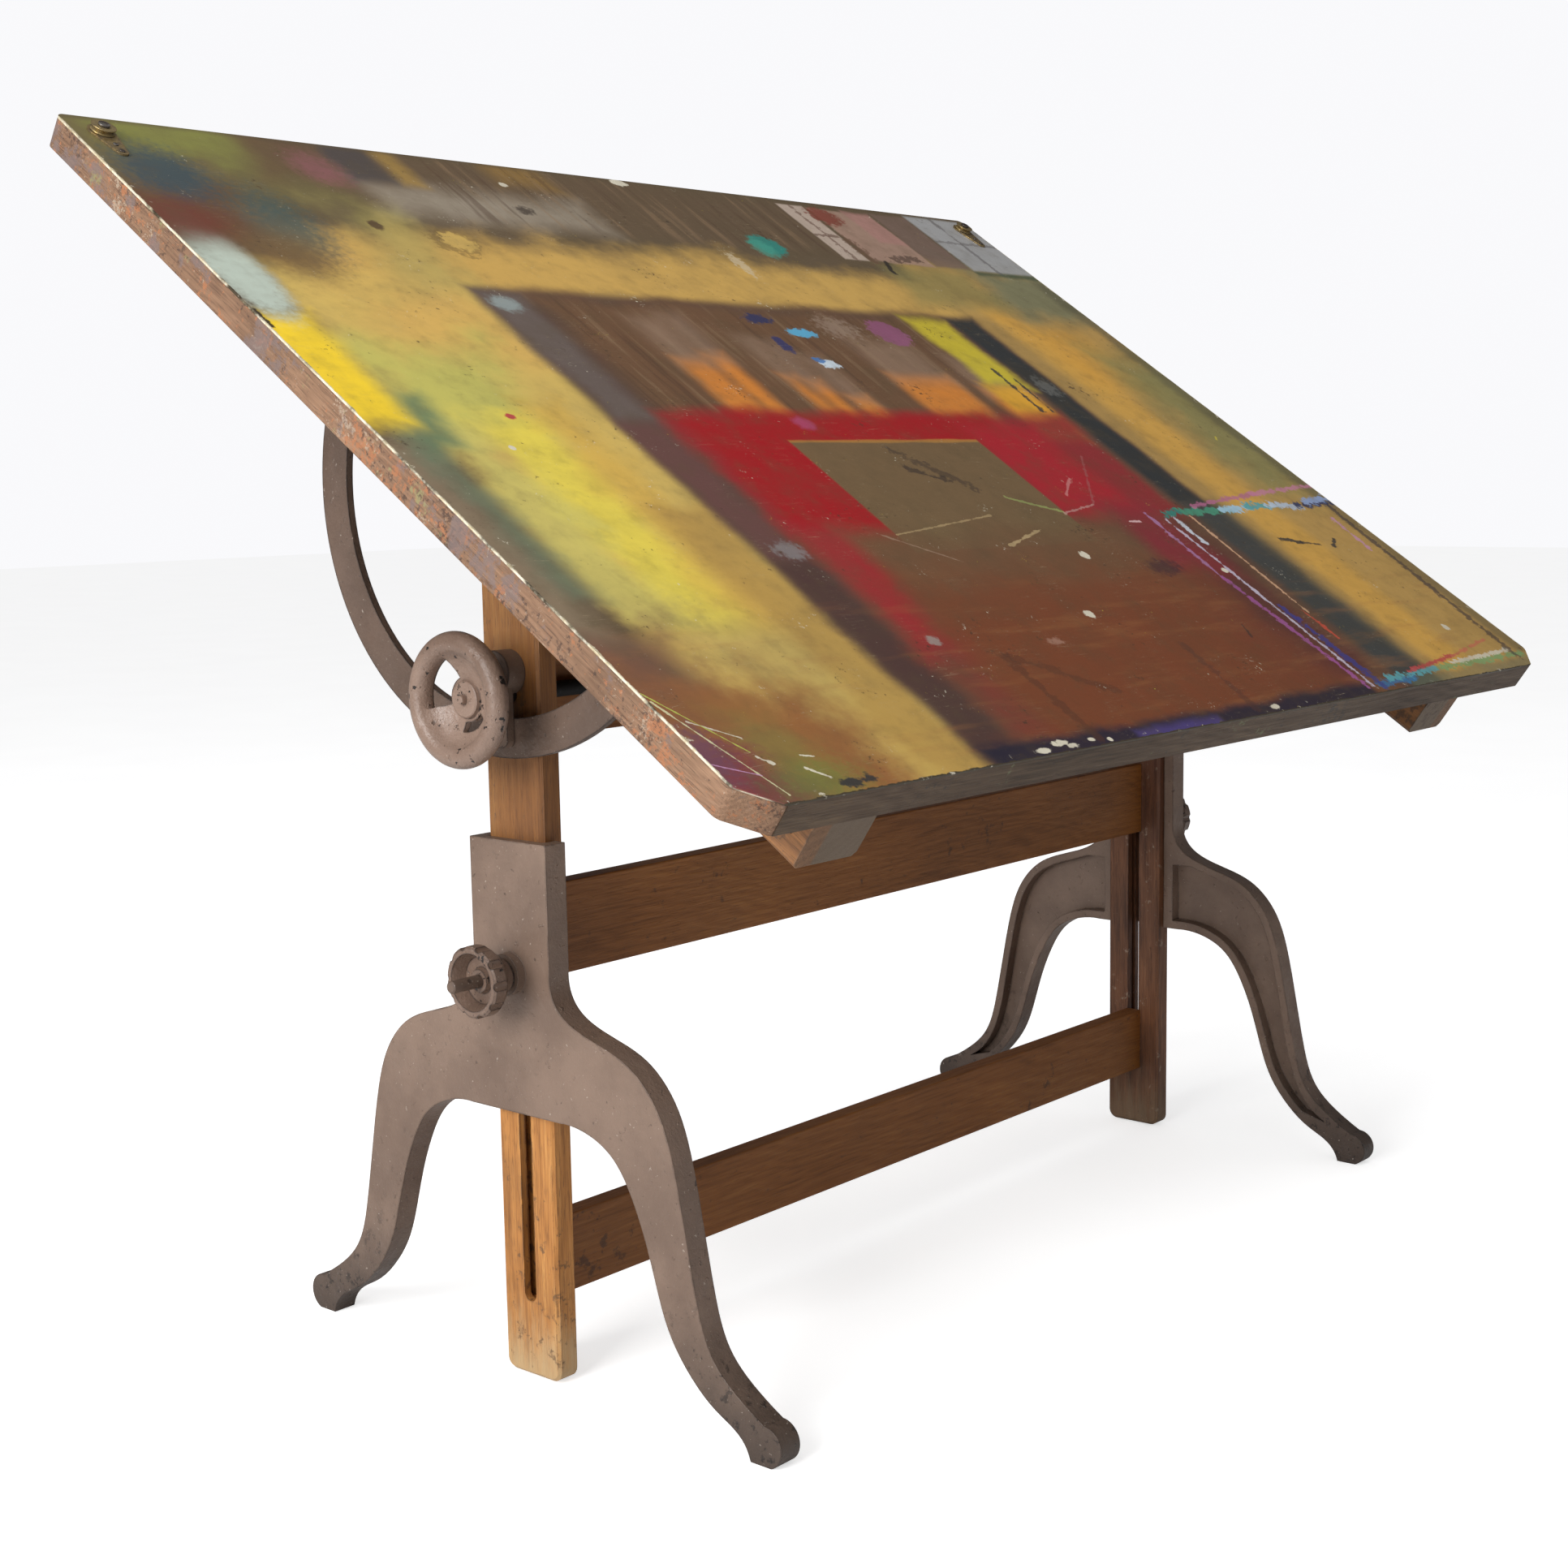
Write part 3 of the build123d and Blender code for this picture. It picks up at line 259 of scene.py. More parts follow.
class SharedGroups:
    """Node groups that several finishes use, each built once."""

    def __init__(self) -> None:
        """Builds every group."""
        self.edge_wear = self.make_edge_wear()
        self.timber = self.make_timber()
        self.casting = self.make_casting()
        self.patch = self.make_patch()
        self.spot = self.make_spot()
        self.stroke = self.make_stroke()
        self.board_plan = self.make_board_plan()
        self.splashes = self.make_splashes()

    @staticmethod
    def start(name: str, inputs: Sequence[Tuple[str, str, object]],
              outputs: Sequence[Tuple[str, str]]) -> Tuple[Graph, bpy.types.Node, bpy.types.Node]:
        """Opens a new group.

        Args:
            name: The group's name.
            inputs: Name, kind and starting value of each input.
            outputs: Name and kind of each output.

        Returns:
            The graph, its input node and its output node.
        """
        tree = bpy.data.node_groups.new(name, "ShaderNodeTree")
        for label, kind, value in inputs:
            socket = tree.interface.new_socket(label, in_out="INPUT", socket_type="NodeSocket" + kind)
            if value is not None:
                socket.default_value = value
        for label, kind in outputs:
            tree.interface.new_socket(label, in_out="OUTPUT", socket_type="NodeSocket" + kind)
        graph = Graph(tree)
        return graph, tree.nodes.new("NodeGroupInput"), tree.nodes.new("NodeGroupOutput")

    def make_edge_wear(self) -> bpy.types.NodeTree:
        """Mask of rubbed arrises, broken up by noise.

        Returns:
            The group.
        """
        graph, given, result = self.start(
            "edge wear",
            [("Vector", "Vector", None), ("Reach", "Float", 0.004), ("Breakup", "Float", 60.0),
             ("Amount", "Float", 0.5)],
            [("Mask", "Float"), ("Soft", "Float")])
        rounded = graph.add("Bevel", {"samples": 6}, Radius=given.outputs["Reach"])
        plain = graph.add("NewGeometry")
        facing = graph.vector("DOT_PRODUCT", rounded.outputs[0], plain.outputs["Normal"], out="Value")
        edge = graph.remap(facing, 0.995, 0.84)
        coarse = graph.noise(given.outputs["Vector"], given.outputs["Breakup"], 5.0, 0.65)
        level = graph.maths("SUBTRACT", 0.78, graph.maths("MULTIPLY", given.outputs["Amount"], 0.45))
        gap = graph.maths("SUBTRACT", coarse, level)
        broken = graph.remap(graph.maths("ADD", gap, graph.maths("MULTIPLY", edge, 0.16)), 0.14, 0.2)
        graph.plug(result.inputs["Mask"], graph.maths("MULTIPLY", edge, broken))
        graph.plug(result.inputs["Soft"], edge)
        return graph.tree

    def make_timber(self) -> bpy.types.NodeTree:
        """Grain running along X: growth bands, fibres and open pores.

        Returns:
            The group.
        """
        graph, given, result = self.start(
            "timber grain",
            [("Vector", "Vector", None), ("Light", "Color", (0.5, 0.3, 0.1, 1)),
             ("Middle", "Color", (0.3, 0.15, 0.05, 1)), ("Dark", "Color", (0.1, 0.05, 0.02, 1)),
             ("Bands", "Float", 1.0), ("Pores", "Float", 0.5)],
            [("Color", "Color"), ("Height", "Float"), ("Tone", "Float")])
        where = given.outputs["Vector"]
        drift = graph.noise(graph.vector("MULTIPLY", where, (1.3, 5.0, 5.0)), 2.2, 3.0)
        long_way = graph.vector("MULTIPLY", where, (0.09, 1.0, 1.0))
        pushed = graph.vector("ADD", long_way, graph.vector(
            "MULTIPLY", graph.add("CombineXYZ", X=0.0, Y=drift, Z=drift).outputs[0], (0.0, 0.055, 0.04)))
        bands = graph.add("TexWave", {"wave_type": "BANDS", "bands_direction": "DIAGONAL"},
                          Vector=pushed, Scale=graph.maths("MULTIPLY", given.outputs["Bands"], 34.0),
                          Distortion=2.4, Detail=3.0, Detail_Scale=1.4, Detail_Roughness=0.6).outputs[1]
        fibre = graph.noise(graph.vector("MULTIPLY", where, (5.0, 150.0, 150.0)), 3.0, 3.0, 0.6)
        broad = graph.noise(graph.vector("MULTIPLY", where, (1.5, 7.0, 7.0)), 1.6, 2.0)
        pores = graph.noise(graph.vector("MULTIPLY", where, (16.0, 420.0, 420.0)), 3.0, 1.0)
        pore = graph.maths("MULTIPLY", graph.remap(pores, 0.6, 0.7), given.outputs["Pores"])
        tone = graph.maths("MULTIPLY_ADD", bands, 0.09, graph.maths("MULTIPLY", fibre, 0.5))
        tone = graph.maths("ADD", tone, graph.maths("MULTIPLY", broad, 0.5))
        low = graph.blend(graph.remap(tone, 0.30, 0.56), given.outputs["Dark"], given.outputs["Middle"])
        full = graph.blend(graph.remap(tone, 0.52, 0.82), low, given.outputs["Light"])
        inked = graph.blend(pore, full, given.outputs["Dark"])
        graph.plug(result.inputs["Color"], inked)
        height = graph.maths("SUBTRACT", graph.maths("MULTIPLY_ADD", fibre, 0.9, graph.maths(
            "MULTIPLY", bands, 0.15)), pore)
        graph.plug(result.inputs["Height"], height)
        graph.plug(result.inputs["Tone"], tone)
        return graph.tree

    def make_casting(self) -> bpy.types.NodeTree:
        """Sand-cast skin under brushed paint: pits, ripples and mottling.

        Returns:
            The group.
        """
        graph, given, result = self.start(
            "cast skin", [("Vector", "Vector", None), ("Grain", "Float", 1.0)],
            [("Height", "Float"), ("Mottle", "Float"), ("Speck", "Float")])
        where = given.outputs["Vector"]
        fine = graph.noise(where, graph.maths("MULTIPLY", given.outputs["Grain"], 260.0), 3.0, 0.6)
        ripple = graph.noise(where, graph.maths("MULTIPLY", given.outputs["Grain"], 48.0), 4.0, 0.5)
        pits = graph.remap(graph.noise(where, graph.maths("MULTIPLY", given.outputs["Grain"], 95.0), 2.0),
                           0.70, 0.78)
        height = graph.maths("MULTIPLY_ADD", ripple, 1.3, graph.maths("MULTIPLY", fine, 0.45))
        graph.plug(result.inputs["Height"], graph.maths("SUBTRACT", height, graph.maths(
            "MULTIPLY", pits, 0.5)))
        graph.plug(result.inputs["Mottle"], graph.noise(where, 7.0, 5.0, 0.6))
        graph.plug(result.inputs["Speck"], pits)
        return graph.tree

    def make_patch(self) -> bpy.types.NodeTree:
        """Mask of one oversprayed rectangle, in millimetres of the board's plan.

        Returns:
            The group.
        """
        graph, given, result = self.start(
            "sprayed patch",
            [("Vector", "Vector", None), ("Middle", "Vector", None), ("Half", "Vector", None),
             ("Soft", "Float", 20.0), ("Break", "Float", 0.0), ("Strength", "Float", 1.0)],
            [("Mask", "Float")])
        offset = graph.vector("ABSOLUTE", graph.vector(
            "SUBTRACT", given.outputs["Vector"], given.outputs["Middle"]))
        outside = graph.vector("SUBTRACT", offset, given.outputs["Half"])
        across = graph.vector("DOT_PRODUCT", outside, (1.0, 0.0, 0.0), out="Value")
        down = graph.vector("DOT_PRODUCT", outside, (0.0, 1.0, 0.0), out="Value")
        reach = graph.maths("ADD", graph.maths("MAXIMUM", across, down), given.outputs["Break"])
        inner = graph.maths("MULTIPLY", given.outputs["Soft"], -1.0)
        mask = graph.remap(reach, given.outputs["Soft"], inner)
        graph.plug(result.inputs["Mask"], graph.maths("MULTIPLY", mask, given.outputs["Strength"]))
        return graph.tree

    def make_spot(self) -> bpy.types.NodeTree:
        """Mask of one round or oval spot, in millimetres of the board's plan.

        Returns:
            The group.
        """
        graph, given, result = self.start(
            "paint spot",
            [("Vector", "Vector", None), ("Middle", "Vector", None), ("Radii", "Vector", (1, 1, 1)),
             ("Soft", "Float", 0.3), ("Break", "Float", 0.0), ("Strength", "Float", 1.0)],
            [("Mask", "Float")])
        offset = graph.vector("SUBTRACT", given.outputs["Vector"], given.outputs["Middle"])
        flat = graph.vector("MULTIPLY", graph.vector("DIVIDE", offset, given.outputs["Radii"]), (1, 1, 0))
        reach = graph.vector("LENGTH", flat, out="Value")
        reach = graph.maths("ADD", reach, given.outputs["Break"])
        inner = graph.maths("SUBTRACT", 1.0, given.outputs["Soft"])
        outer = graph.maths("ADD", 1.0, given.outputs["Soft"])
        mask = graph.remap(reach, outer, inner)
        graph.plug(result.inputs["Mask"], graph.maths("MULTIPLY", mask, given.outputs["Strength"]))
        return graph.tree

    def make_stroke(self) -> bpy.types.NodeTree:
        """Mask of one straight brushed or scratched line in the board's plan.

        Returns:
            The group.
        """
        graph, given, result = self.start(
            "line",
            [("Vector", "Vector", None), ("Start", "Vector", None), ("Run", "Vector", (1, 0, 0)),
             ("Width", "Float", 1.0), ("Break", "Float", 0.0), ("Strength", "Float", 1.0)],
            [("Mask", "Float")])
        offset = graph.vector("MULTIPLY", graph.vector(
            "SUBTRACT", given.outputs["Vector"], given.outputs["Start"]), (1, 1, 0))
        run = given.outputs["Run"]
        along = graph.maths("DIVIDE", graph.vector("DOT_PRODUCT", offset, run, out="Value"),
                            graph.vector("DOT_PRODUCT", run, run, out="Value"))
        held = graph.add("Clamp", Value=along).outputs[0]
        nearest = graph.add("VectorMath", {"operation": "SCALE"}, Scale=held)
        graph.plug(nearest.inputs[0], run)
        reach = graph.vector("DISTANCE", offset, nearest.outputs[0], out="Value")
        reach = graph.maths("ADD", reach, given.outputs["Break"])
        inner = graph.maths("MULTIPLY", given.outputs["Width"], 0.35)
        mask = graph.remap(reach, given.outputs["Width"], inner)
        graph.plug(result.inputs["Mask"], graph.maths("MULTIPLY", mask, given.outputs["Strength"]))
        return graph.tree

    def make_board_plan(self) -> bpy.types.NodeTree:
        """Millimetres from the board's high left corner: X right, Y towards the low edge.

        Returns:
            The group.
        """
        graph, given, result = self.start("board plan", [("Vector", "Vector", None)],
                                          [("Level", "Vector"), ("Plan", "Vector")])
        level = graph.add("Mapping", {"vector_type": "TEXTURE"}, Vector=given.outputs["Vector"],
                          Location=(0.0, 0.0, PIVOT_Z), Rotation=(TILT, 0.0, 0.0))
        plan = graph.vector("MULTIPLY_ADD", level.outputs[0], (MM, -MM, MM),
                            (MM * BOARD_HALF, MM * BOARD_HIGH, 0.0))
        graph.plug(result.inputs["Level"], level.outputs[0])
        graph.plug(result.inputs["Plan"], plan)
        return graph.tree

    def make_splashes(self) -> bpy.types.NodeTree:
        """Scattered drips and dust of one colour, as a mask.

        Returns:
            The group.
        """
        graph, given, result = self.start(
            "splashes", [("Vector", "Vector", None), ("Scale", "Float", 60.0), ("Amount", "Float", 0.5)],
            [("Mask", "Float")])
        grain = graph.noise(given.outputs["Vector"], given.outputs["Scale"], 6.0, 0.72)
        zone = graph.noise(given.outputs["Vector"], graph.maths(
            "MULTIPLY", given.outputs["Scale"], 0.11), 2.0)
        level = graph.maths("SUBTRACT", 0.74, graph.maths("MULTIPLY", given.outputs["Amount"], 0.24))
        level = graph.maths("SUBTRACT", level, graph.maths("MULTIPLY", graph.maths(
            "SUBTRACT", zone, 0.5), 0.5))
        graph.plug(result.inputs["Mask"], graph.remap(graph.maths("SUBTRACT", grain, level), -0.02, 0.05))
        return graph.tree


# ------------------------------------------------------------------ finishes
def new_material(name: str) -> Tuple[Graph, bpy.types.Material, bpy.types.Node, bpy.types.NodeSocket]:
    """Opens a material.

    Args:
        name: The material's name.

    Returns:
        Its graph, itself, its Principled BSDF and the object coordinates.
    """
    material = bpy.data.materials.new(name)
    material.use_nodes = True
    graph = Graph(material.node_tree)
    shader = material.node_tree.nodes["Principled BSDF"]
    coords = graph.add("TexCoord").outputs["Object"]
    return graph, material, shader, coords


@dataclass(frozen=True)
class CastPaint:
    """Old brushed paint on sand-cast iron."""

    name: str
    coat: Colour
    shade: Colour
    chip: Colour = paint(38, 32, 29)
    dust: Colour = paint(196, 184, 172)
    wear: float = 0.5
    dirt_height: float = 0.0
    roughness: float = 0.44
    grain: float = 1.0
    flaking: float = 0.12

    def build(self, shared: SharedGroups) -> bpy.types.Material:
        """Makes the material.

        Args:
            shared: The shared node groups.

        Returns:
            The material.
        """
        graph, material, shader, coords = new_material(self.name)
        skin = graph.use(shared.casting, Vector=coords, Grain=self.grain)
        worn = graph.use(shared.edge_wear, Vector=coords, Reach=0.0035, Breakup=42.0, Amount=self.wear)
        tone = graph.remap(skin.outputs["Mottle"], 0.34, 0.68)
        colour = graph.blend(tone, self.shade, self.coat)
        stain = graph.remap(graph.noise(coords, 17.0, 6.0, 0.7), 0.56, 0.72)
        colour = graph.blend(graph.maths("MULTIPLY", stain, 0.35), colour, self.shade)
        colour = graph.blend(graph.maths("MULTIPLY", worn.outputs["Soft"], 0.22), colour, self.chip)
        height = graph.maths("SUBTRACT", skin.outputs["Height"], graph.maths(
            "MULTIPLY", worn.outputs["Mask"], 0.8))
        if self.dirt_height > 0:
            up = graph.add("SeparateXYZ", Vector=coords).outputs[2]
            cloud = graph.noise(coords, 30.0, 5.0, 0.7)
            low = graph.remap(graph.maths("MULTIPLY_ADD", cloud, -0.07, up), self.dirt_height, -0.04)
            colour = graph.blend(graph.maths("MULTIPLY", low, 0.75), colour, self.chip)
            scuff = graph.maths("MULTIPLY", graph.remap(graph.noise(coords, 75.0, 6.0, 0.75), 0.56, 0.62),
                                graph.remap(up, self.dirt_height * 1.6, 0.0))
            colour = graph.blend(graph.maths("MULTIPLY", scuff, 0.8), colour, self.chip)
        flecks = graph.maths("MULTIPLY", skin.outputs["Speck"], 0.55)
        colour = graph.blend(flecks, colour, self.chip)
        colour = graph.blend(worn.outputs["Mask"], colour, self.chip)
        flakes = graph.noise(coords, 88.0, 5.0, 0.62)
        level = 0.74 - 0.10 * self.flaking
        flaked = graph.remap(flakes, level, level + 0.015)
        halo = graph.remap(flakes, level - 0.02, level)
        colour = graph.blend(graph.maths("MULTIPLY", halo, 0.25), colour, self.coat)
        colour = graph.blend(flaked, colour, self.chip)
        dusty = graph.remap(graph.noise(coords, 230.0, 3.0, 0.6), 0.68, 0.73)
        colour = graph.blend(graph.maths("MULTIPLY", dusty, 0.5), colour, self.dust)
        height = graph.maths("SUBTRACT", height, graph.maths("MULTIPLY", flaked, 0.9))
        graph.plug(shader.inputs["Base Color"], colour)
        patchy = graph.remap(graph.noise(coords, 24.0, 4.0), 0.3, 0.7, self.roughness - 0.07,
                             self.roughness + 0.12)
        graph.plug(shader.inputs["Roughness"], graph.between(worn.outputs["Mask"], patchy, 0.72))
        lumps = graph.remap(graph.noise(coords, 150.0, 2.0), 0.66, 0.76)
        height = graph.maths("MULTIPLY_ADD", lumps, 0.6, height)
        bump = graph.add("Bump", Strength=0.85, Distance=0.0016, Height=height)
        graph.plug(shader.inputs["Normal"], bump.outputs[0])
        shader.inputs["Specular IOR Level"].default_value = 0.42
        return material


@dataclass(frozen=True)
class Timber:
    """Worn, oiled hardwood with the grain one way."""

    name: str
    light: Colour
    middle: Colour
    dark: Colour
    grain: Grain = Grain.ALONG_X
    on_board: bool = False
    bands: float = 1.0
    pores: float = 0.5
    arris: Colour = paint(70, 48, 30)
    arris_wear: float = 0.5
    foot: Optional[Colour] = None
    # Colour the posts darken to towards their tops: painted shade under the board, partly real patina.
    upper_shade_and_patina: Colour = paint(96, 58, 26)
    splashes: Tuple[Tuple[Colour, float, float], ...] = ()
    grime: float = 0.35
    roughness: float = 0.52
    end_grain: Optional[Colour] = None

    def build(self, shared: SharedGroups) -> bpy.types.Material:
        """Makes the material.

        Args:
            shared: The shared node groups.

        Returns:
            The material.
        """
        graph, material, shader, coords = new_material(self.name)
        level = coords
        if self.on_board:
            level = graph.use(shared.board_plan, Vector=coords).outputs["Level"]
        turned = graph.add("Mapping", {"vector_type": "TEXTURE"}, Vector=level,
                           Location=(0.31, 0.17, 0.23), Rotation=self.grain.value).outputs[0]
        wood = graph.use(shared.timber, Vector=turned, Light=self.light, Middle=self.middle,
                         Dark=self.dark, Bands=self.bands, Pores=self.pores)
        colour = wood.outputs["Color"]
        dull = graph.remap(graph.noise(coords, 6.0, 5.0, 0.62), 0.42, 0.72)
        colour = graph.blend(graph.maths("MULTIPLY", dull, self.grime), colour, self.arris)
        height = wood.outputs["Height"]
        if self.foot is not None:
            up = graph.add("SeparateXYZ", Vector=coords).outputs[2]
            cloud = graph.noise(graph.vector("MULTIPLY", coords, (3.0, 3.0, 0.5)), 34.0, 5.0, 0.7)
            low = graph.remap(graph.maths("MULTIPLY_ADD", cloud, -0.13, up), 0.02, -0.07)
            colour = graph.blend(graph.maths("MULTIPLY", low, 0.85), colour, self.foot)
            # Darker towards the top of the post: painted shade under the board, partly real patina.
            handled = graph.remap(graph.maths("MULTIPLY_ADD", cloud, 0.1, up), 0.36, 0.66)
            colour = graph.blend(graph.maths("MULTIPLY", handled, 0.66), colour, self.upper_shade_and_patina)
        if self.end_grain is not None:
            parts = graph.add("SeparateXYZ", Vector=level).outputs
            end = graph.remap(parts[1], -0.5096, -0.5102)
            across = graph.remap(graph.maths("ABSOLUTE", parts[0]), 0.606, 0.602, 0.35, 0.95)
            colour = graph.blend(graph.maths("MULTIPLY", end, across), colour, self.end_grain)
        for tint, scale, amount in self.splashes:
            mask = graph.use(shared.splashes, Vector=level, Scale=scale, Amount=amount).outputs[0]
            colour = graph.blend(graph.maths("MULTIPLY", mask, 0.75), colour, tint)
        worn = graph.use(shared.edge_wear, Vector=coords, Reach=0.004, Breakup=34.0,
                         Amount=self.arris_wear)
        colour = graph.blend(graph.maths("MULTIPLY", worn.outputs["Mask"], 0.85), colour, self.arris)
        nicks = graph.remap(graph.noise(graph.vector("MULTIPLY", turned, (1.0, 3.0, 3.0)), 60.0, 5.0, 0.7),
                            0.66, 0.72)
        colour = graph.blend(graph.maths("MULTIPLY", nicks, 0.6), colour, self.arris)
        graph.plug(shader.inputs["Base Color"], colour)
        rough = graph.remap(wood.outputs["Tone"], 0.3, 0.8, self.roughness + 0.12, self.roughness - 0.05)
        graph.plug(shader.inputs["Roughness"], rough)
        dents = graph.noise(coords, 26.0, 3.0)
        relief = graph.maths("MULTIPLY_ADD", dents, 0.9, height)
        relief = graph.maths("SUBTRACT", relief, nicks)
        bump = graph.add("Bump", Strength=0.45, Distance=0.0011, Height=relief)
        graph.plug(shader.inputs["Normal"], bump.outputs[0])
        return material


@dataclass(frozen=True)
class BareMetal:
    """Handled steel or brass with tarnish."""

    name: str
    bright: Colour
    tarnish: Colour
    amount: float = 0.5
    roughness: float = 0.36

    def build(self, shared: SharedGroups) -> bpy.types.Material:
        """Makes the material.

        Args:
            shared: The shared node groups.

        Returns:
            The material.
        """
        graph, material, shader, coords = new_material(self.name)
        cloud = graph.noise(coords, 120.0, 6.0, 0.65)
        level = 0.75 - 0.5 * self.amount
        dull = graph.remap(cloud, level - 0.12, level + 0.12)
        worn = graph.use(shared.edge_wear, Vector=coords, Reach=0.0012, Breakup=160.0, Amount=0.9)
        dull = graph.maths("SUBTRACT", dull, worn.outputs["Mask"], clamp=True)
        graph.plug(shader.inputs["Base Color"], graph.blend(dull, self.bright, self.tarnish))
        graph.plug(shader.inputs["Metallic"], graph.between(dull, 1.0, 0.45))
        graph.plug(shader.inputs["Roughness"], graph.between(dull, self.roughness, self.roughness + 0.3))
        lines = graph.noise(graph.vector("MULTIPLY", coords, (60.0, 60.0, 900.0)), 4.0, 2.0)
        relief = graph.maths("MULTIPLY_ADD", cloud, 0.7, graph.maths("MULTIPLY", lines, 0.3))
        bump = graph.add("Bump", Strength=0.3, Distance=0.0004, Height=relief)
        graph.plug(shader.inputs["Normal"], bump.outputs[0])
        return material


@dataclass(frozen=True)
class Patch:
    """One sprayed rectangle: left, right, top and bottom in millimetres of the plan."""

    left: float
    right: float
    top: float
    bottom: float
    colour: Colour
    soft: float = 20.0
    strength: float = 1.0
    wander: float = 10.0

    def mask(self, graph: Graph, shared: SharedGroups, cover: "CoverField") -> bpy.types.NodeSocket:
        """Places the patch's mask.

        Args:
            graph: The cover's graph.
            shared: The shared node groups.
            cover: The cover's coordinates and noises.

        Returns:
            The mask.
        """
        middle = ((self.left + self.right) / 2, (self.top + self.bottom) / 2, 0.0)
        half = (abs(self.right - self.left) / 2, abs(self.bottom - self.top) / 2, 1.0)
        rough = graph.maths("MULTIPLY", cover.cloud, self.wander)
        return graph.use(shared.patch, Vector=cover.plan, Middle=middle, Half=half, Soft=self.soft,
                         Break=rough, Strength=self.strength).outputs[0]


@dataclass(frozen=True)
class Spot:
    """One oval spot: centre and radii in millimetres of the plan."""

    across: float
    down: float
    wide: float
    tall: float
    colour: Colour
    soft: float = 0.35
    strength: float = 1.0
    ragged: float = 0.5

    def mask(self, graph: Graph, shared: SharedGroups, cover: "CoverField") -> bpy.types.NodeSocket:
        """Places the spot's mask.

        Args:
            graph: The cover's graph.
            shared: The shared node groups.
            cover: The cover's coordinates and noises.

        Returns:
            The mask.
        """
        rough = graph.maths("MULTIPLY", cover.fray, self.ragged)
        return graph.use(shared.spot, Vector=cover.plan, Middle=(self.across, self.down, 0.0),
                         Radii=(self.wide, self.tall, 1.0), Soft=self.soft, Break=rough,
                         Strength=self.strength).outputs[0]


@dataclass(frozen=True)
class Stroke:
    """One line between two places in millimetres of the plan."""

    start: Tuple[float, float]
    end: Tuple[float, float]
    width: float
    colour: Colour
    strength: float = 1.0
    ragged: float = 2.0

    def mask(self, graph: Graph, shared: SharedGroups, cover: "CoverField") -> bpy.types.NodeSocket:
        """Places the line's mask.

        Args:
            graph: The cover's graph.
            shared: The shared node groups.
            cover: The cover's coordinates and noises.

        Returns:
            The mask.
        """
        rough = graph.maths("MULTIPLY", cover.fray, self.ragged * self.width)
        rough = graph.maths("MULTIPLY_ADD", cover.gaps, 1.5 * self.width, rough)
        run = (self.end[0] - self.start[0], self.end[1] - self.start[1], 0.0)
        return graph.use(shared.stroke, Vector=cover.plan, Start=(*self.start, 0.0), Run=run,
                         Width=self.width, Break=rough, Strength=self.strength).outputs[0]


Mark = Union[Patch, Spot, Stroke]


@dataclass(frozen=True)
class CoverField:
    """Shared coordinates and noises of the painted cover."""

    plan: bpy.types.NodeSocket
    cloud: bpy.types.NodeSocket
    fray: bpy.types.NodeSocket
    gaps: bpy.types.NodeSocket


BROWN = paint(106, 88, 66)
GOLD = paint(212, 170, 88)
CRIMSON = paint(166, 6, 18)
RUST = paint(124, 66, 36)
SOOT = paint(52, 52, 54)
CREAM = paint(224, 216, 194)
NAVY = paint(44, 50, 92)
TEAL = paint(42, 136, 124)
MAUVE = paint(150, 86, 122)
LILAC = paint(176, 128, 172)
ICE = paint(168, 206, 226)
AMBER = paint(226, 138, 48)
LEAF = paint(128, 132, 84)


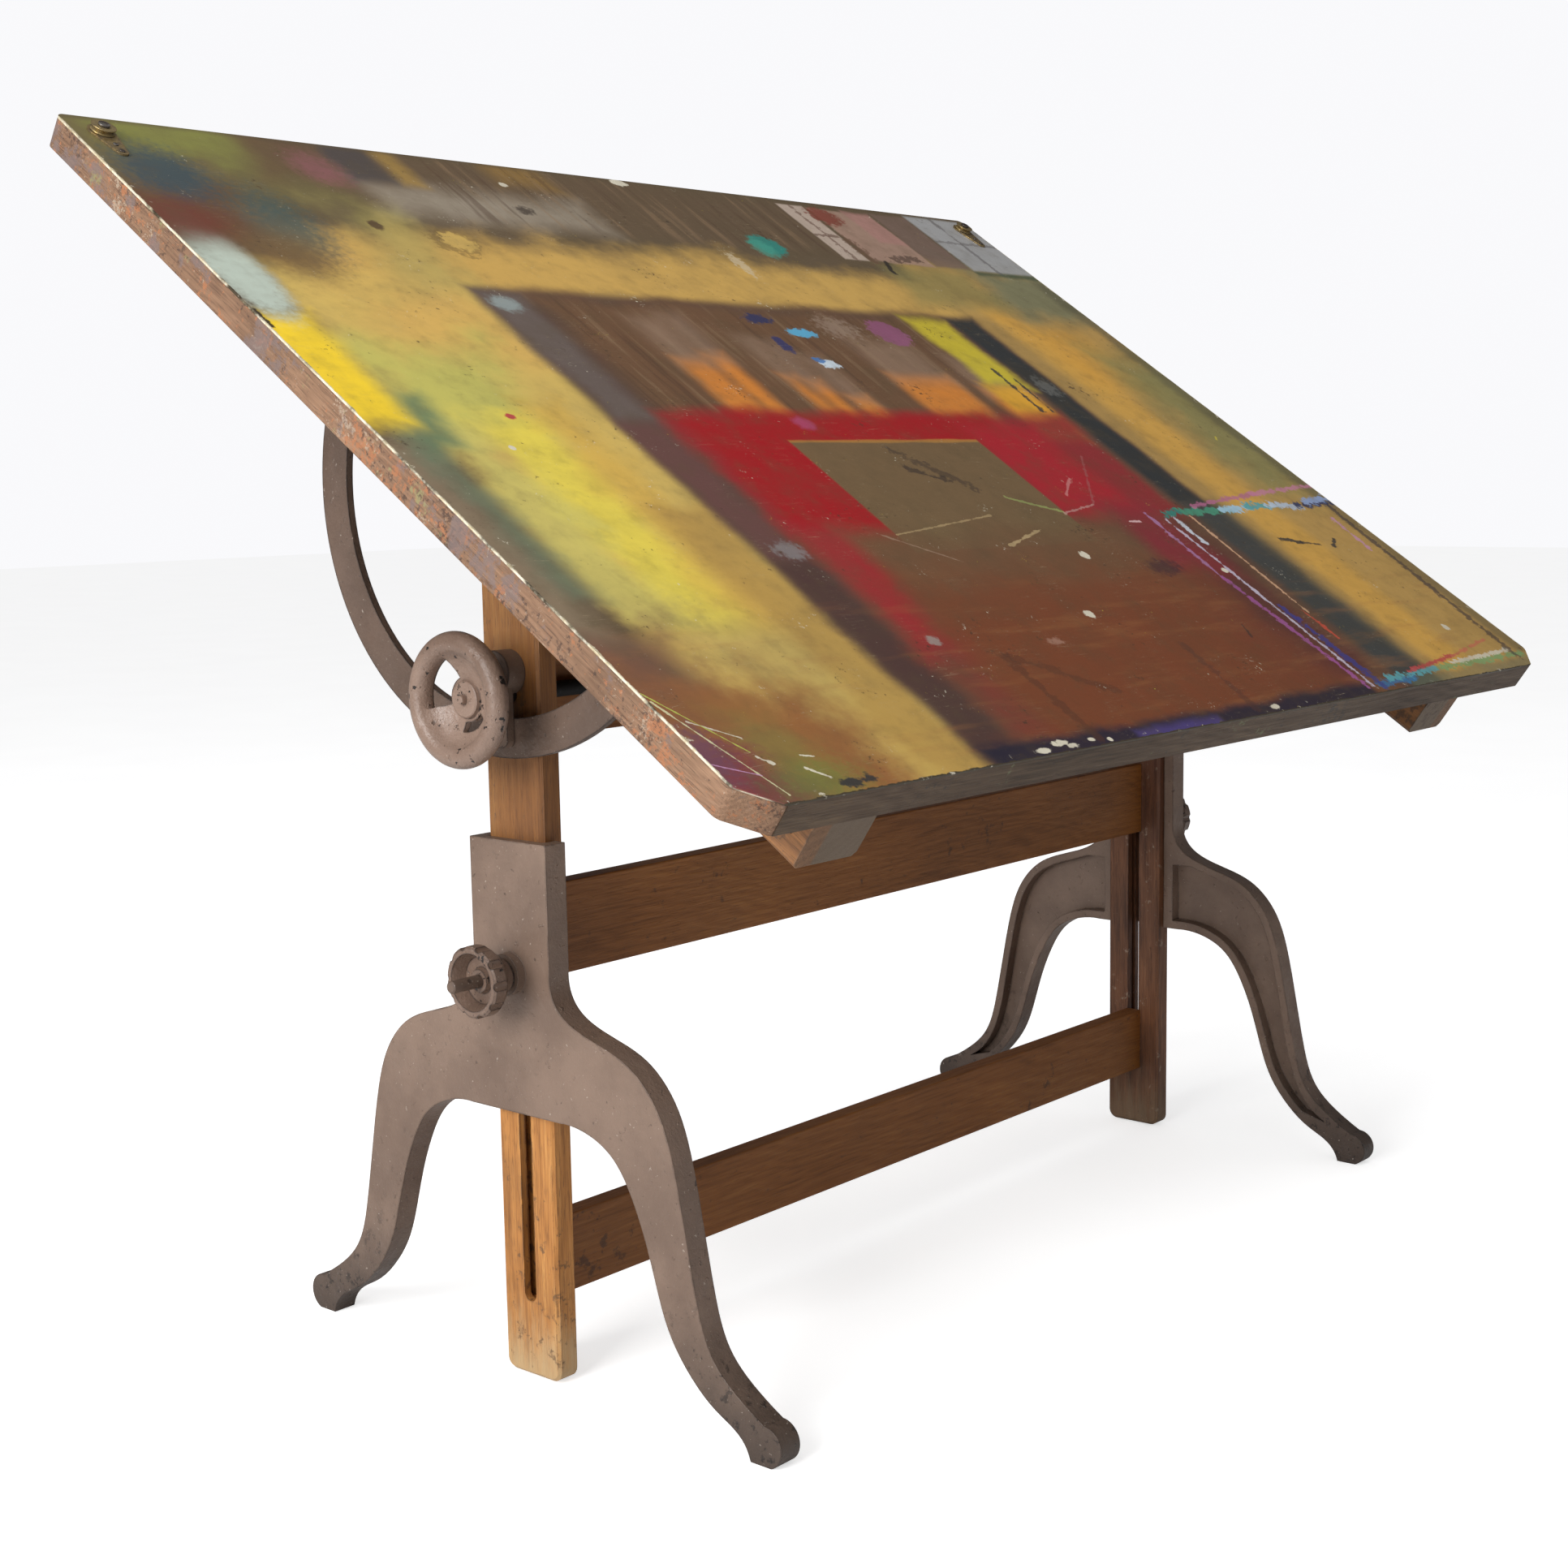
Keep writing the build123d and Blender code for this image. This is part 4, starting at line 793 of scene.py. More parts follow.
@dataclass(frozen=True)
class PaintedCover:
    """Years of overspray, drips and brush wipings on a smooth board cover."""

    name: str = "painted cover"

    def ground(self) -> Tuple[Mark, ...]:
        """Broad sprayed fields, from the oldest to the newest."""
        return (
            Patch(-60, 330, -60, 170, paint(112, 100, 62), 60, 0.95, 40),
            Patch(40, 230, -60, 66, paint(136, 138, 66), 40, 0.75, 60),
            Patch(200, 340, -60, 90, paint(102, 74, 56), 34, 0.8, 40),
            Patch(300, 1090, 10, 150, paint(104, 84, 62), 30, 0.9, 30),
            Patch(330, 660, 80, 150, paint(166, 154, 136), 34, 0.75, 26),
            Patch(318, 388, -40, 82, paint(76, 70, 70), 16, 0.85, 20),
            Patch(392, 425, -40, 80, paint(168, 134, 66), 14, 0.8, 14),
            Patch(560, 650, -40, 50, paint(156, 120, 56), 26, 0.7, 20),
            Patch(130, 1250, 196, 330, GOLD, 40, 0.95, 50),
            Patch(60, 330, 290, 1150, paint(214, 182, 96), 34, 0.97, 40),
            Patch(240, 330, 150, 330, paint(174, 160, 92), 50, 0.6, 60),
            Patch(130, 300, 320, 450, paint(220, 176, 92), 50, 0.8, 60),
            Patch(60, 230, 430, 600, paint(194, 190, 96), 46, 0.85, 60),
            Patch(120, 220, 560, 880, paint(234, 212, 80), 30, 0.95, 50),
            Patch(210, 270, 520, 900, paint(220, 178, 78), 26, 0.8, 40),
            Patch(56, 130, 560, 880, paint(206, 194, 104), 26, 0.8, 50),
            Patch(120, 300, 900, 1000, paint(184, 162, 94), 50, 0.7, 60),
            Patch(1200, 1560, 150, 1150, paint(196, 156, 84), 24, 0.95, 16),
            Patch(1205, 1262, 300, 1150, paint(172, 138, 78), 14, 0.7, 10),
            Patch(1262, 1350, 280, 1150, paint(222, 170, 74), 24, 0.8, 18),
            Patch(1300, 1440, 290, 470, paint(226, 166, 62), 50, 0.7, 40),
            Patch(1345, 1560, 130, 300, paint(118, 124, 96), 50, 0.85, 50),
            Patch(1400, 1560, 380, 720, LEAF, 60, 0.75, 50),
            Patch(1140, 1340, 160, 262, paint(142, 132, 78), 30, 0.7, 30),
            Patch(-40, 44, 600, 900, paint(138, 120, 96), 28, 0.9, 40),
            Patch(-40, 96, 880, 1000, paint(122, 82, 64), 50, 0.85, 60),
            Patch(-40, 200, 960, 1150, paint(150, 94, 50), 54, 0.95, 60),
            Patch(40, 120, 1010, 1120, paint(130, 124, 64), 34, 0.6, 60),
            Patch(232, 318, 700, 1150, paint(184, 146, 74), 22, 0.85, 20),
            Patch(26, 62, 560, 840, paint(104, 116, 92), 20, 0.8, 30),
            Patch(48, 92, 516, 606, paint(100, 124, 92), 20, 0.85, 24),
            Patch(-40, 56, 380, 566, paint(252, 214, 40), 20, 0.97, 20),
            Spot(30, 300, 34, 84, paint(192, 204, 190), 0.35, 0.95, 0.4),
            Patch(-40, 120, 130, 240, paint(104, 70, 46), 40, 0.9, 40),
            Spot(64, 108, 50, 54, paint(54, 74, 84), 0.6, 0.85, 0.9),
            Spot(152, 200, 44, 66, paint(62, 84, 84), 0.7, 0.85, 0.9),
            Spot(286, 62, 30, 32, paint(146, 92, 96), 0.8, 0.75, 0.9),
            Spot(30, 200, 50, 34, paint(112, 54, 42), 0.8, 0.75, 0.9),
            Spot(120, 260, 46, 44, paint(124, 94, 52), 0.8, 0.7, 0.9),
            Patch(312, 1210, 302, 1150, paint(90, 66, 56), 13, 0.97, 9),
            Patch(318, 384, 310, 560, paint(108, 96, 90), 18, 0.8, 20),
            Patch(316, 380, 560, 800, paint(108, 70, 66), 20, 0.85, 20),
            Patch(316, 380, 800, 1150, paint(80, 54, 50), 20, 0.9, 20),
            Patch(1142, 1204, 305, 735, paint(44, 50, 52), 11, 0.93, 10),
            Patch(1140, 1232, 735, 1150, paint(62, 68, 66), 18, 0.85, 14),
            Patch(392, 1136, 312, 1150, paint(112, 80, 54), 24, 0.97, 22),
            Patch(400, 1080, 780, 1150, RUST, 46, 0.9, 50),
            Patch(930, 1110, 760, 1080, paint(92, 44, 44), 44, 0.8, 50),
        )

    def spray(self) -> Tuple[Mark, ...]:
        """The glow, the red arch and the plain place inside it.

        Returns:
            The marks, lowest first.
        """
        glow = [
            (512, 562, 400), (570, 602, 390), (662, 688, 430), (694, 722, 440),
            (736, 776, 470), (866, 986, 420), (1026, 1120, 450),
        ]
        marks = [Patch(left, right, top + 30, 600, AMBER, 15, 0.85, 8) for left, right, top in glow]
        marks += [Patch(left, right, top - 50, top + 44, paint(150, 122, 100), 26, 0.7, 12)
                  for left, right, top in glow]
        marks += [
            Patch(1052, 1134, 316, 470, paint(212, 192, 46), 14, 0.92, 16),
            Patch(1040, 1120, 470, 532, paint(232, 174, 44), 14, 0.85, 12),
            Patch(384, 1130, 538, 760, paint(150, 34, 42), 18, 0.9, 16),
            Patch(404, 560, 545, 760, CRIMSON, 22, 0.95, 16),
            Patch(500, 960, 540, 606, CRIMSON, 18, 0.95, 12),
            Patch(884, 1040, 560, 740, paint(174, 24, 38), 22, 0.9, 16),
            Patch(388, 470, 750, 960, paint(160, 36, 42), 24, 0.9, 16),
            Patch(390, 450, 940, 1080, paint(128, 52, 46), 24, 0.6, 20),
            Patch(960, 1082, 730, 880, paint(142, 40, 50), 26, 0.75, 20),
            Patch(544, 884, 594, 800, paint(118, 96, 64), 3, 0.97, 2),
            Patch(470, 960, 770, 900, paint(116, 84, 56), 34, 0.85, 30),
            Patch(544, 884, 592, 598, paint(196, 138, 56), 2, 0.6, 3),
            Patch(450, 1020, 850, 1110, RUST, 40, 0.8, 40),
        ]
        return tuple(marks)

    def corner_stencils(self) -> Tuple[Mark, ...]:
        """Pale masked rectangles in the high right corner."""
        marks = [
            Patch(1086, 1140, 14, 160, paint(196, 176, 160), 3, 0.9, 3),
            Patch(1150, 1284, 20, 160, paint(176, 142, 124), 4, 0.85, 8),
            Patch(1290, 1372, 12, 158, paint(126, 102, 90), 5, 0.8, 6),
            Patch(1374, 1560, 6, 162, paint(172, 172, 172), 5, 0.9, 4),
            Patch(1225, 1284, 14, 100, paint(178, 128, 120), 6, 0.7, 8),
            Spot(1166, 38, 32, 24, paint(132, 58, 42), 0.25, 0.9, 1.2),
            Stroke((1438, 0), (1438, 164), 5, paint(120, 116, 116), 0.8, 1.0),
            Stroke((1376, 78), (1530, 78), 4, paint(122, 118, 118), 0.7, 1.0),
            Stroke((1086, 96), (1138, 96), 4, paint(118, 92, 78), 0.8, 2.0),
            Stroke((1113, 14), (1113, 160), 4, paint(124, 98, 84), 0.8, 3.0),
            Stroke((1150, 160), (1150, 100), 12, paint(112, 82, 62), 0.7, 3.0),
            Stroke((1205, 150), (1260, 140), 9, paint(70, 50, 40), 0.7, 4.0),
            Patch(1372, 1560, 160, 174, paint(66, 84, 62), 6, 0.8, 5),
            Stroke((1162, 186), (1174, 160), 5, paint(38, 32, 30), 0.9, 1.0),
        ]
        return tuple(marks)

    def drops(self) -> Tuple[Mark, ...]:
        """Wet spots of thick colour."""
        return (
            Spot(946, 142, 30, 25, TEAL, 0.16, 0.95, 0.6),
            Spot(930, 150, 20, 24, paint(70, 160, 140), 0.3, 0.7, 0.9),
            Spot(742, 335, 24, 11, NAVY, 0.3, 0.9, 1.4),
            Spot(795, 363, 26, 10, paint(92, 176, 214), 0.2, 0.95, 1.2),
            Spot(733, 392, 10, 18, paint(40, 48, 104), 0.25, 0.9, 1.2),
            Spot(776, 432, 16, 10, paint(214, 228, 238), 0.2, 0.95, 1.4),
            Spot(766, 424, 10, 6, paint(64, 120, 184), 0.25, 0.9, 1.2),
            Spot(975, 352, 34, 30, MAUVE, 0.12, 0.85, 0.7),
            Spot(880, 345, 34, 22, paint(166, 144, 126), 0.5, 0.5, 2.0),
            Spot(345, 334, 20, 15, paint(150, 162, 160), 0.4, 0.8, 0.8),
            Spot(604, 560, 15, 12, paint(176, 72, 110), 0.4, 0.8, 0.8),
            Spot(181, 551, 6, 5, paint(190, 74, 70), 0.2, 1.0, 0.8),
            Spot(823, 823, 8, 7, CREAM, 0.15, 1.0, 0.8),
            Spot(707, 922, 8, 6, CREAM, 0.15, 1.0, 0.8),
            Spot(142, 604, 4, 4, CREAM, 0.15, 1.0, 0.4),
            Spot(790, 8, 14, 8, CREAM, 0.15, 1.0, 0.8),
            Spot(562, 50, 6, 5, CREAM, 0.2, 0.9, 0.8),
            Spot(1062, 871, 6, 5, CREAM, 0.2, 1.0, 0.8),
            Spot(1396, 1020, 7, 6, CREAM, 0.2, 0.9, 0.8),
            Spot(360, 784, 20, 14, paint(138, 134, 134), 0.4, 0.7, 1.5),
            Spot(421, 937, 9, 7, paint(160, 148, 140), 0.3, 0.8, 1.2),
            Spot(600, 958, 12, 5, paint(178, 136, 116), 0.4, 0.6, 2.0),
            Spot(279, 182, 9, 10, paint(70, 42, 34), 0.3, 0.8, 0.9),
            Spot(548, 112, 13, 9, paint(58, 46, 38), 0.4, 0.8, 1.6),
            Spot(372, 206, 32, 28, paint(120, 96, 52), 0.15, 0.55, 1.4),
            Spot(378, 204, 22, 20, paint(214, 178, 96), 0.2, 0.8, 1.0),
            Spot(947, 856, 30, 14, paint(70, 38, 46), 0.5, 0.75, 1.4),
            Spot(1180, 470, 18, 20, paint(120, 120, 116), 0.5, 0.6, 2.4),
            Spot(840, 200, 10, 28, paint(214, 198, 166), 0.4, 0.6, 2.6),
            Spot(402, 1103, 10, 4, CREAM, 0.2, 1.0, 0.9),
            Spot(434, 1097, 13, 4, CREAM, 0.2, 1.0, 1.1),
            Spot(450, 1103, 8, 3, CREAM, 0.2, 1.0, 0.9),
            Spot(486, 1100, 5, 3, CREAM, 0.2, 1.0, 0.8),
            Spot(512, 1104, 4, 3, CREAM, 0.2, 1.0, 0.8),
            Spot(836, 1101, 9, 4, CREAM, 0.2, 1.0, 1.0),
        )

    def brushwork(self) -> Tuple[Mark, ...]:
        """Brush wipings round a sheet at the right, drawn ticks and scratches.

        Returns:
            The marks, lowest first.
        """
        teal_to_ice = [
            ((1086, 755), (1160, 752), TEAL), ((1130, 754), (1240, 752), paint(74, 150, 120)),
            ((1220, 752), (1300, 748), ICE), ((1290, 748), (1370, 750), paint(92, 168, 170)),
            ((1350, 748), (1430, 752), paint(196, 210, 226)), ((1420, 750), (1524, 746), NAVY),
            ((1452, 744), (1524, 738), paint(150, 170, 210)),
        ]
        marks = [Stroke(start, end, 8, tint, 0.95, 1.6) for start, end, tint in teal_to_ice]
        marks += [
            Stroke((1086, 1098), (1180, 1092), 8, paint(52, 120, 170), 0.9, 1.8),
            Stroke((1120, 1090), (1250, 1086), 6, paint(96, 176, 184), 0.9, 2.0),
            Stroke((1180, 1084), (1330, 1070), 4, paint(196, 74, 72), 0.9, 1.6),
            Stroke((1320, 1072), (1450, 1052), 3, paint(206, 112, 84), 0.8, 2.0),
            Stroke((1260, 1088), (1500, 1086), 6, paint(126, 170, 110), 0.8, 2.4),
            Stroke((1300, 1082), (1480, 1076), 4, CREAM, 0.8, 2.6),
            Stroke((1168, 742), (1350, 722), 5, paint(190, 110, 148), 0.8, 1.6),
            Stroke((1340, 722), (1520, 708), 5, paint(206, 132, 160), 0.8, 1.8),
            Stroke((1044, 752), (1038, 880), 4, LILAC, 0.8, 2.0),
            Stroke((1040, 880), (1056, 1096), 5, paint(170, 92, 160), 0.8, 2.2),
            Stroke((1072, 770), (1070, 1096), 3.5, paint(206, 196, 214), 0.85, 2.0),
            Stroke((1084, 950), (1090, 1100), 8, paint(56, 60, 140), 0.8, 2.0),
            Stroke((1134, 762), (1126, 960), 3, paint(226, 178, 140), 0.8, 1.8),
            Stroke((1120, 960), (1122, 1010), 4, paint(206, 78, 56), 0.8, 1.6),
            Stroke((1094, 766), (1094, 814), 5, paint(214, 222, 232), 0.9, 1.6),
            Stroke((1468, 786), (1464, 850), 6, paint(206, 150, 178), 0.85, 1.6),
            Stroke((1502, 760), (1480, 1090), 7, paint(72, 60, 60), 0.75, 2.4),
            Stroke((1444, 586), (1436, 594), 3, paint(214, 196, 66), 0.9, 1.0),
            Stroke((1272, 818), (1312, 828), 4.5, SOOT, 0.9, 1.2),
            Stroke((1312, 828), (1352, 836), 2.5, SOOT, 0.8, 1.6),
            Stroke((1380, 842), (1402, 828), 4.5, SOOT, 0.9, 1.4),
            Stroke((1106, 430), (1100, 528), 5, SOOT, 0.9, 1.8),
            Stroke((1128, 452), (1122, 530), 3, SOOT, 0.9, 1.8),
            Stroke((700, 612), (770, 690), 8, paint(56, 44, 40), 0.55, 2.8),
            Stroke((690, 650), (740, 676), 6, paint(56, 44, 40), 0.7, 2.4),
            Stroke((806, 710), (882, 742), 3, paint(150, 158, 92), 0.9, 1.4),
            Stroke((544, 768), (740, 742), 1.6, paint(172, 146, 104), 0.8, 1.2),
            Stroke((710, 798), (800, 772), 2.2, paint(186, 160, 116), 0.85, 1.2),
            Stroke((516, 764), (600, 820), 1.6, paint(158, 128, 106), 0.7, 1.4),
            Stroke((882, 744), (960, 730), 2.2, paint(196, 146, 140), 0.7, 1.6),
            Stroke((960, 730), (1060, 630), 2.0, paint(168, 92, 92), 0.6, 1.8),
            Stroke((928, 710), (976, 676), 2.0, paint(206, 132, 130), 0.7, 1.4),
            Stroke((990, 767), (1012, 767), 2.2, paint(230, 190, 190), 0.9, 0.8),
            Stroke((496, 970), (500, 1100), 9, paint(86, 50, 34), 0.5, 1.4),
            Stroke((500, 970), (606, 1040), 7, paint(86, 50, 34), 0.45, 1.6),
            Stroke((806, 990), (800, 1100), 7, paint(84, 52, 42), 0.45, 1.6),
            Stroke((960, 968), (950, 990), 2.4, paint(60, 42, 38), 0.7, 1.2),
            Stroke((4, 972), (50, 1100), 1.3, paint(220, 216, 170), 0.85, 1.0),
            Stroke((20, 1000), (60, 1028), 1.1, CREAM, 0.8, 1.0),
            Stroke((2, 960), (54, 1046), 0.9, paint(190, 200, 90), 0.85, 1.0),
            Stroke((0, 1052), (42, 1074), 0.9, paint(200, 150, 190), 0.8, 1.0),
            Stroke((56, 1052), (66, 1062), 2.2, CREAM, 0.9, 1.4),
            Stroke((96, 1074), (112, 1088), 2.0, CREAM, 0.9, 1.4),
            Stroke((104, 1058), (118, 1062), 1.4, CREAM, 0.9, 1.4),
            Stroke((120, 1098), (156, 1098), 6, SOOT, 0.95, 1.0),
            Stroke((1, 372), (3, 400), 5, paint(40, 32, 30), 0.95, 1.0),
        ]
        return tuple(marks)

    def rims(self) -> Tuple[Mark, ...]:
        """Dirt and bruised colour round the board's rim."""
        return (
            Spot(14, 1066, 46, 40, paint(128, 46, 66), 0.7, 0.8, 1.2),
            Spot(56, 1096, 40, 22, paint(118, 40, 66), 0.7, 0.75, 1.4),
            Spot(6, 1040, 22, 34, paint(104, 76, 96), 0.8, 0.6, 1.4),
            Spot(96, 1090, 50, 24, paint(116, 128, 58), 0.8, 0.65, 1.4),
            Patch(322, 1062, 1088, 1150, paint(38, 34, 52), 9, 0.95, 12),
            Patch(560, 720, 1098, 1150, paint(80, 66, 130), 8, 0.8, 12),
            Patch(1160, 1560, 1092, 1150, paint(110, 116, 92), 9, 0.6, 12),
            Patch(1494, 1560, 180, 1090, paint(92, 88, 66), 14, 0.6, 14),
            Patch(-40, 1560, -40, 6, paint(92, 78, 56), 6, 0.6, 6),
        )

    def build(self, shared: SharedGroups) -> bpy.types.Material:
        """Makes the material.

        Args:
            shared: The shared node groups.

        Returns:
            The material.
        """
        graph, material, shader, coords = new_material(self.name)
        place = graph.use(shared.board_plan, Vector=coords)
        plan = place.outputs["Plan"]
        small = graph.vector("MULTIPLY", plan, (0.001, 0.001, 0.0))
        cloud = graph.maths("SUBTRACT", graph.noise(small, 9.0, 5.0, 0.6), 0.5)
        fray = graph.maths("SUBTRACT", graph.noise(small, 120.0, 4.0, 0.6), 0.5)
        swing = graph.maths("MULTIPLY", cloud, 3.0)
        gaps = graph.maths("SUBTRACT", graph.noise(small, 52.0, 4.0, 0.7), 0.52)
        cover = CoverField(plan, swing, graph.maths("MULTIPLY", fray, 1.6),
                           graph.maths("MULTIPLY", gaps, 3.0))
        cross = graph.noise(graph.vector("MULTIPLY", small, (46.0, 3.0, 1.0)), 1.0, 5.0, 0.65)
        level = graph.noise(graph.vector("MULTIPLY", small, (5.0, 38.0, 1.0)), 1.0, 5.0, 0.6)
        wash = graph.noise(small, 14.0, 6.0, 0.62)
        colour = graph.blend(graph.remap(wash, 0.35, 0.7), paint(98, 82, 58), BROWN)
        colour = self.lay(graph, shared, cover, colour, self.ground())
        down = graph.add("SeparateXYZ", Vector=plan)
        colour = self.streak(graph, shared, cover, colour, cross)
        colour = self.lay(graph, shared, cover, colour, self.spray())
        low_zone = graph.maths("MULTIPLY", graph.remap(down.outputs[1], 800.0, 960.0),
                               graph.remap(level, 0.5, 0.74))
        colour = graph.blend(graph.maths("MULTIPLY", low_zone, 0.34), colour, paint(164, 110, 62))
        colour = self.lay(graph, shared, cover, colour, self.corner_stencils())
        colour = self.lay(graph, shared, cover, colour, self.rims())
        colour = self.lay(graph, shared, cover, colour, self.drops())
        colour = self.lay(graph, shared, cover, colour, self.brushwork())
        haze = graph.remap(wash, 0.36, 0.78, 0.0, 0.24)
        colour = graph.blend(haze, colour, paint(78, 66, 44))
        mottle = graph.remap(graph.noise(small, 30.0, 5.0, 0.6), 0.46, 0.74, 0.0, 0.22)
        colour = graph.blend(mottle, colour, paint(92, 76, 50))
        colour, marks = self.age(graph, shared, small, colour)
        colour = self.edges(graph, place.outputs["Level"], coords, colour)
        graph.plug(shader.inputs["Base Color"], colour)
        rough = graph.remap(wash, 0.3, 0.72, 0.36, 0.54)
        graph.plug(shader.inputs["Roughness"], graph.between(marks, rough, 0.62))
        skin = graph.noise(small, 210.0, 3.0, 0.55)
        relief = graph.maths("MULTIPLY_ADD", skin, 0.5, graph.maths("MULTIPLY", cross, 0.25))
        relief = graph.maths("ADD", relief, graph.maths("MULTIPLY", marks, 0.7))
        bump = graph.add("Bump", Strength=0.22, Distance=0.0006, Height=relief)
        graph.plug(shader.inputs["Normal"], bump.outputs[0])
        shader.inputs["Specular IOR Level"].default_value = 0.3
        return material

    @staticmethod
    def lay(graph: Graph, shared: SharedGroups, cover: CoverField, colour: Plug,
            marks: Iterable[Mark]) -> bpy.types.NodeSocket:
        """Lays marks over a colour, one by one.

        Args:
            graph: The cover's graph.
            shared: The shared node groups.
            cover: The cover's coordinates and noises.
            colour: The colour below.
            marks: The marks, lowest first.

        Returns:
            The colour with the marks on it.
        """
        for mark in marks:
            colour = graph.blend(mark.mask(graph, shared, cover), colour, mark.colour)
        return colour

    @staticmethod
    def streak(graph: Graph, shared: SharedGroups, cover: CoverField, colour: Plug,
               cross: Plug) -> bpy.types.NodeSocket:
        """Lays runs of thinned colour down the board, above the arch and at its head.

        Args:
            graph: The cover's graph.
            shared: The shared node groups.
            cover: The cover's coordinates and noises.
            colour: The colour below.
            cross: Noise drawn out down the board.

        Returns:
            The streaked colour.
        """
        zones = (Patch(392, 1040, 316, 560, BROWN, 16, 1.0, 20), Patch(440, 1080, 0, 150, BROWN, 20, 0.9, 20))
        for zone in zones:
            mask = zone.mask(graph, shared, cover)
            light = graph.maths("MULTIPLY", mask, graph.remap(cross, 0.52, 0.66))
            dark = graph.maths("MULTIPLY", mask, graph.remap(cross, 0.46, 0.36))
            colour = graph.blend(graph.maths("MULTIPLY", light, 0.55), colour, paint(146, 118, 88))
            colour = graph.blend(graph.maths("MULTIPLY", dark, 0.55), colour, paint(82, 56, 40))
        return colour

    @staticmethod
    def age(graph: Graph, shared: SharedGroups, small: Plug,
            colour: Plug) -> Tuple[bpy.types.NodeSocket, bpy.types.NodeSocket]:
        """Lays scratches, drips and dust.

        Args:
            graph: The cover's graph.
            shared: The shared node groups.
            small: Board plan in metres.
            colour: The colour below.

        Returns:
            The colour and a mask of raised or scratched places.
        """
        marks = None
        for turn, scale in ((0.5, 11.0), (-0.9, 8.0), (1.9, 13.0)):
            turned = graph.add("Mapping", {"vector_type": "POINT"}, Vector=small,
                               Rotation=(0.0, 0.0, turn), Scale=(1.0, 26.0, 1.0)).outputs[0]
            line = graph.noise(turned, scale, 2.0, 0.5, 0.6)
            thin = graph.remap(graph.maths("ABSOLUTE", graph.maths("SUBTRACT", line, 0.5)), 0.0035, 0.0)
            sparse = graph.remap(graph.noise(small, 5.0 + scale, 2.0), 0.56, 0.66)
            mask = graph.maths("MULTIPLY", thin, sparse)
            marks = mask if marks is None else graph.maths("MAXIMUM", marks, mask)
        colour = graph.blend(graph.maths("MULTIPLY", marks, 0.45), colour, paint(196, 178, 142))
        for tint, scale, amount in ((CREAM, 190.0, 0.16), (paint(66, 50, 36), 120.0, 0.26),
                                    (paint(220, 196, 70), 240.0, 0.06)):
            mask = graph.use(shared.splashes, Vector=small, Scale=scale, Amount=amount).outputs[0]
            colour = graph.blend(graph.maths("MULTIPLY", mask, 0.75), colour, tint)
        return colour, marks

    @staticmethod
    def edges(graph: Graph, level: Plug, coords: Plug, colour: Plug) -> bpy.types.NodeSocket:
        """Wears the cover's rim, pale at the ends and dark with chips along the low edge.

        Args:
            graph: The cover's graph.
            level: Coordinates of the level board, in metres.
            coords: Object coordinates.
            colour: The colour below.

        Returns:
            The colour with its rim.
        """
        parts = graph.add("SeparateXYZ", Vector=level)
        side = graph.maths("SUBTRACT", graph.maths("ABSOLUTE", parts.outputs[0]), BOARD_HALF - 0.0016)
        front = graph.maths("SUBTRACT", BOARD_LOW + 0.0016, parts.outputs[1])
        beyond = graph.maths("MAXIMUM", side, front)
        ragged = graph.noise(coords, 70.0, 6.0, 0.72)
        rim = graph.remap(graph.maths("MULTIPLY_ADD", ragged, 0.008, beyond), 0.0036, 0.0046)
        chips = graph.maths("MULTIPLY", graph.remap(ragged, 0.62, 0.66),
                            graph.remap(beyond, -0.010, -0.003))
        under = graph.remap(parts.outputs[2], BOARD_TOP - 0.0004, BOARD_TOP - 0.0012)
        stained = graph.remap(graph.noise(coords, 16.0, 5.0, 0.7), 0.5, 0.64)
        pale = graph.blend(graph.remap(ragged, 0.4, 0.7), CREAM, paint(176, 160, 120))
        low_edge = graph.remap(front, -0.01, -0.004)
        pale = graph.blend(graph.maths("MAXIMUM", stained, low_edge), pale, paint(70, 60, 44))
        colour = graph.blend(rim, colour, pale)
        colour = graph.blend(graph.maths("MULTIPLY", chips, 0.7), colour, CREAM)
        return graph.blend(graph.maths("MULTIPLY", under, 0.8), colour, pale)


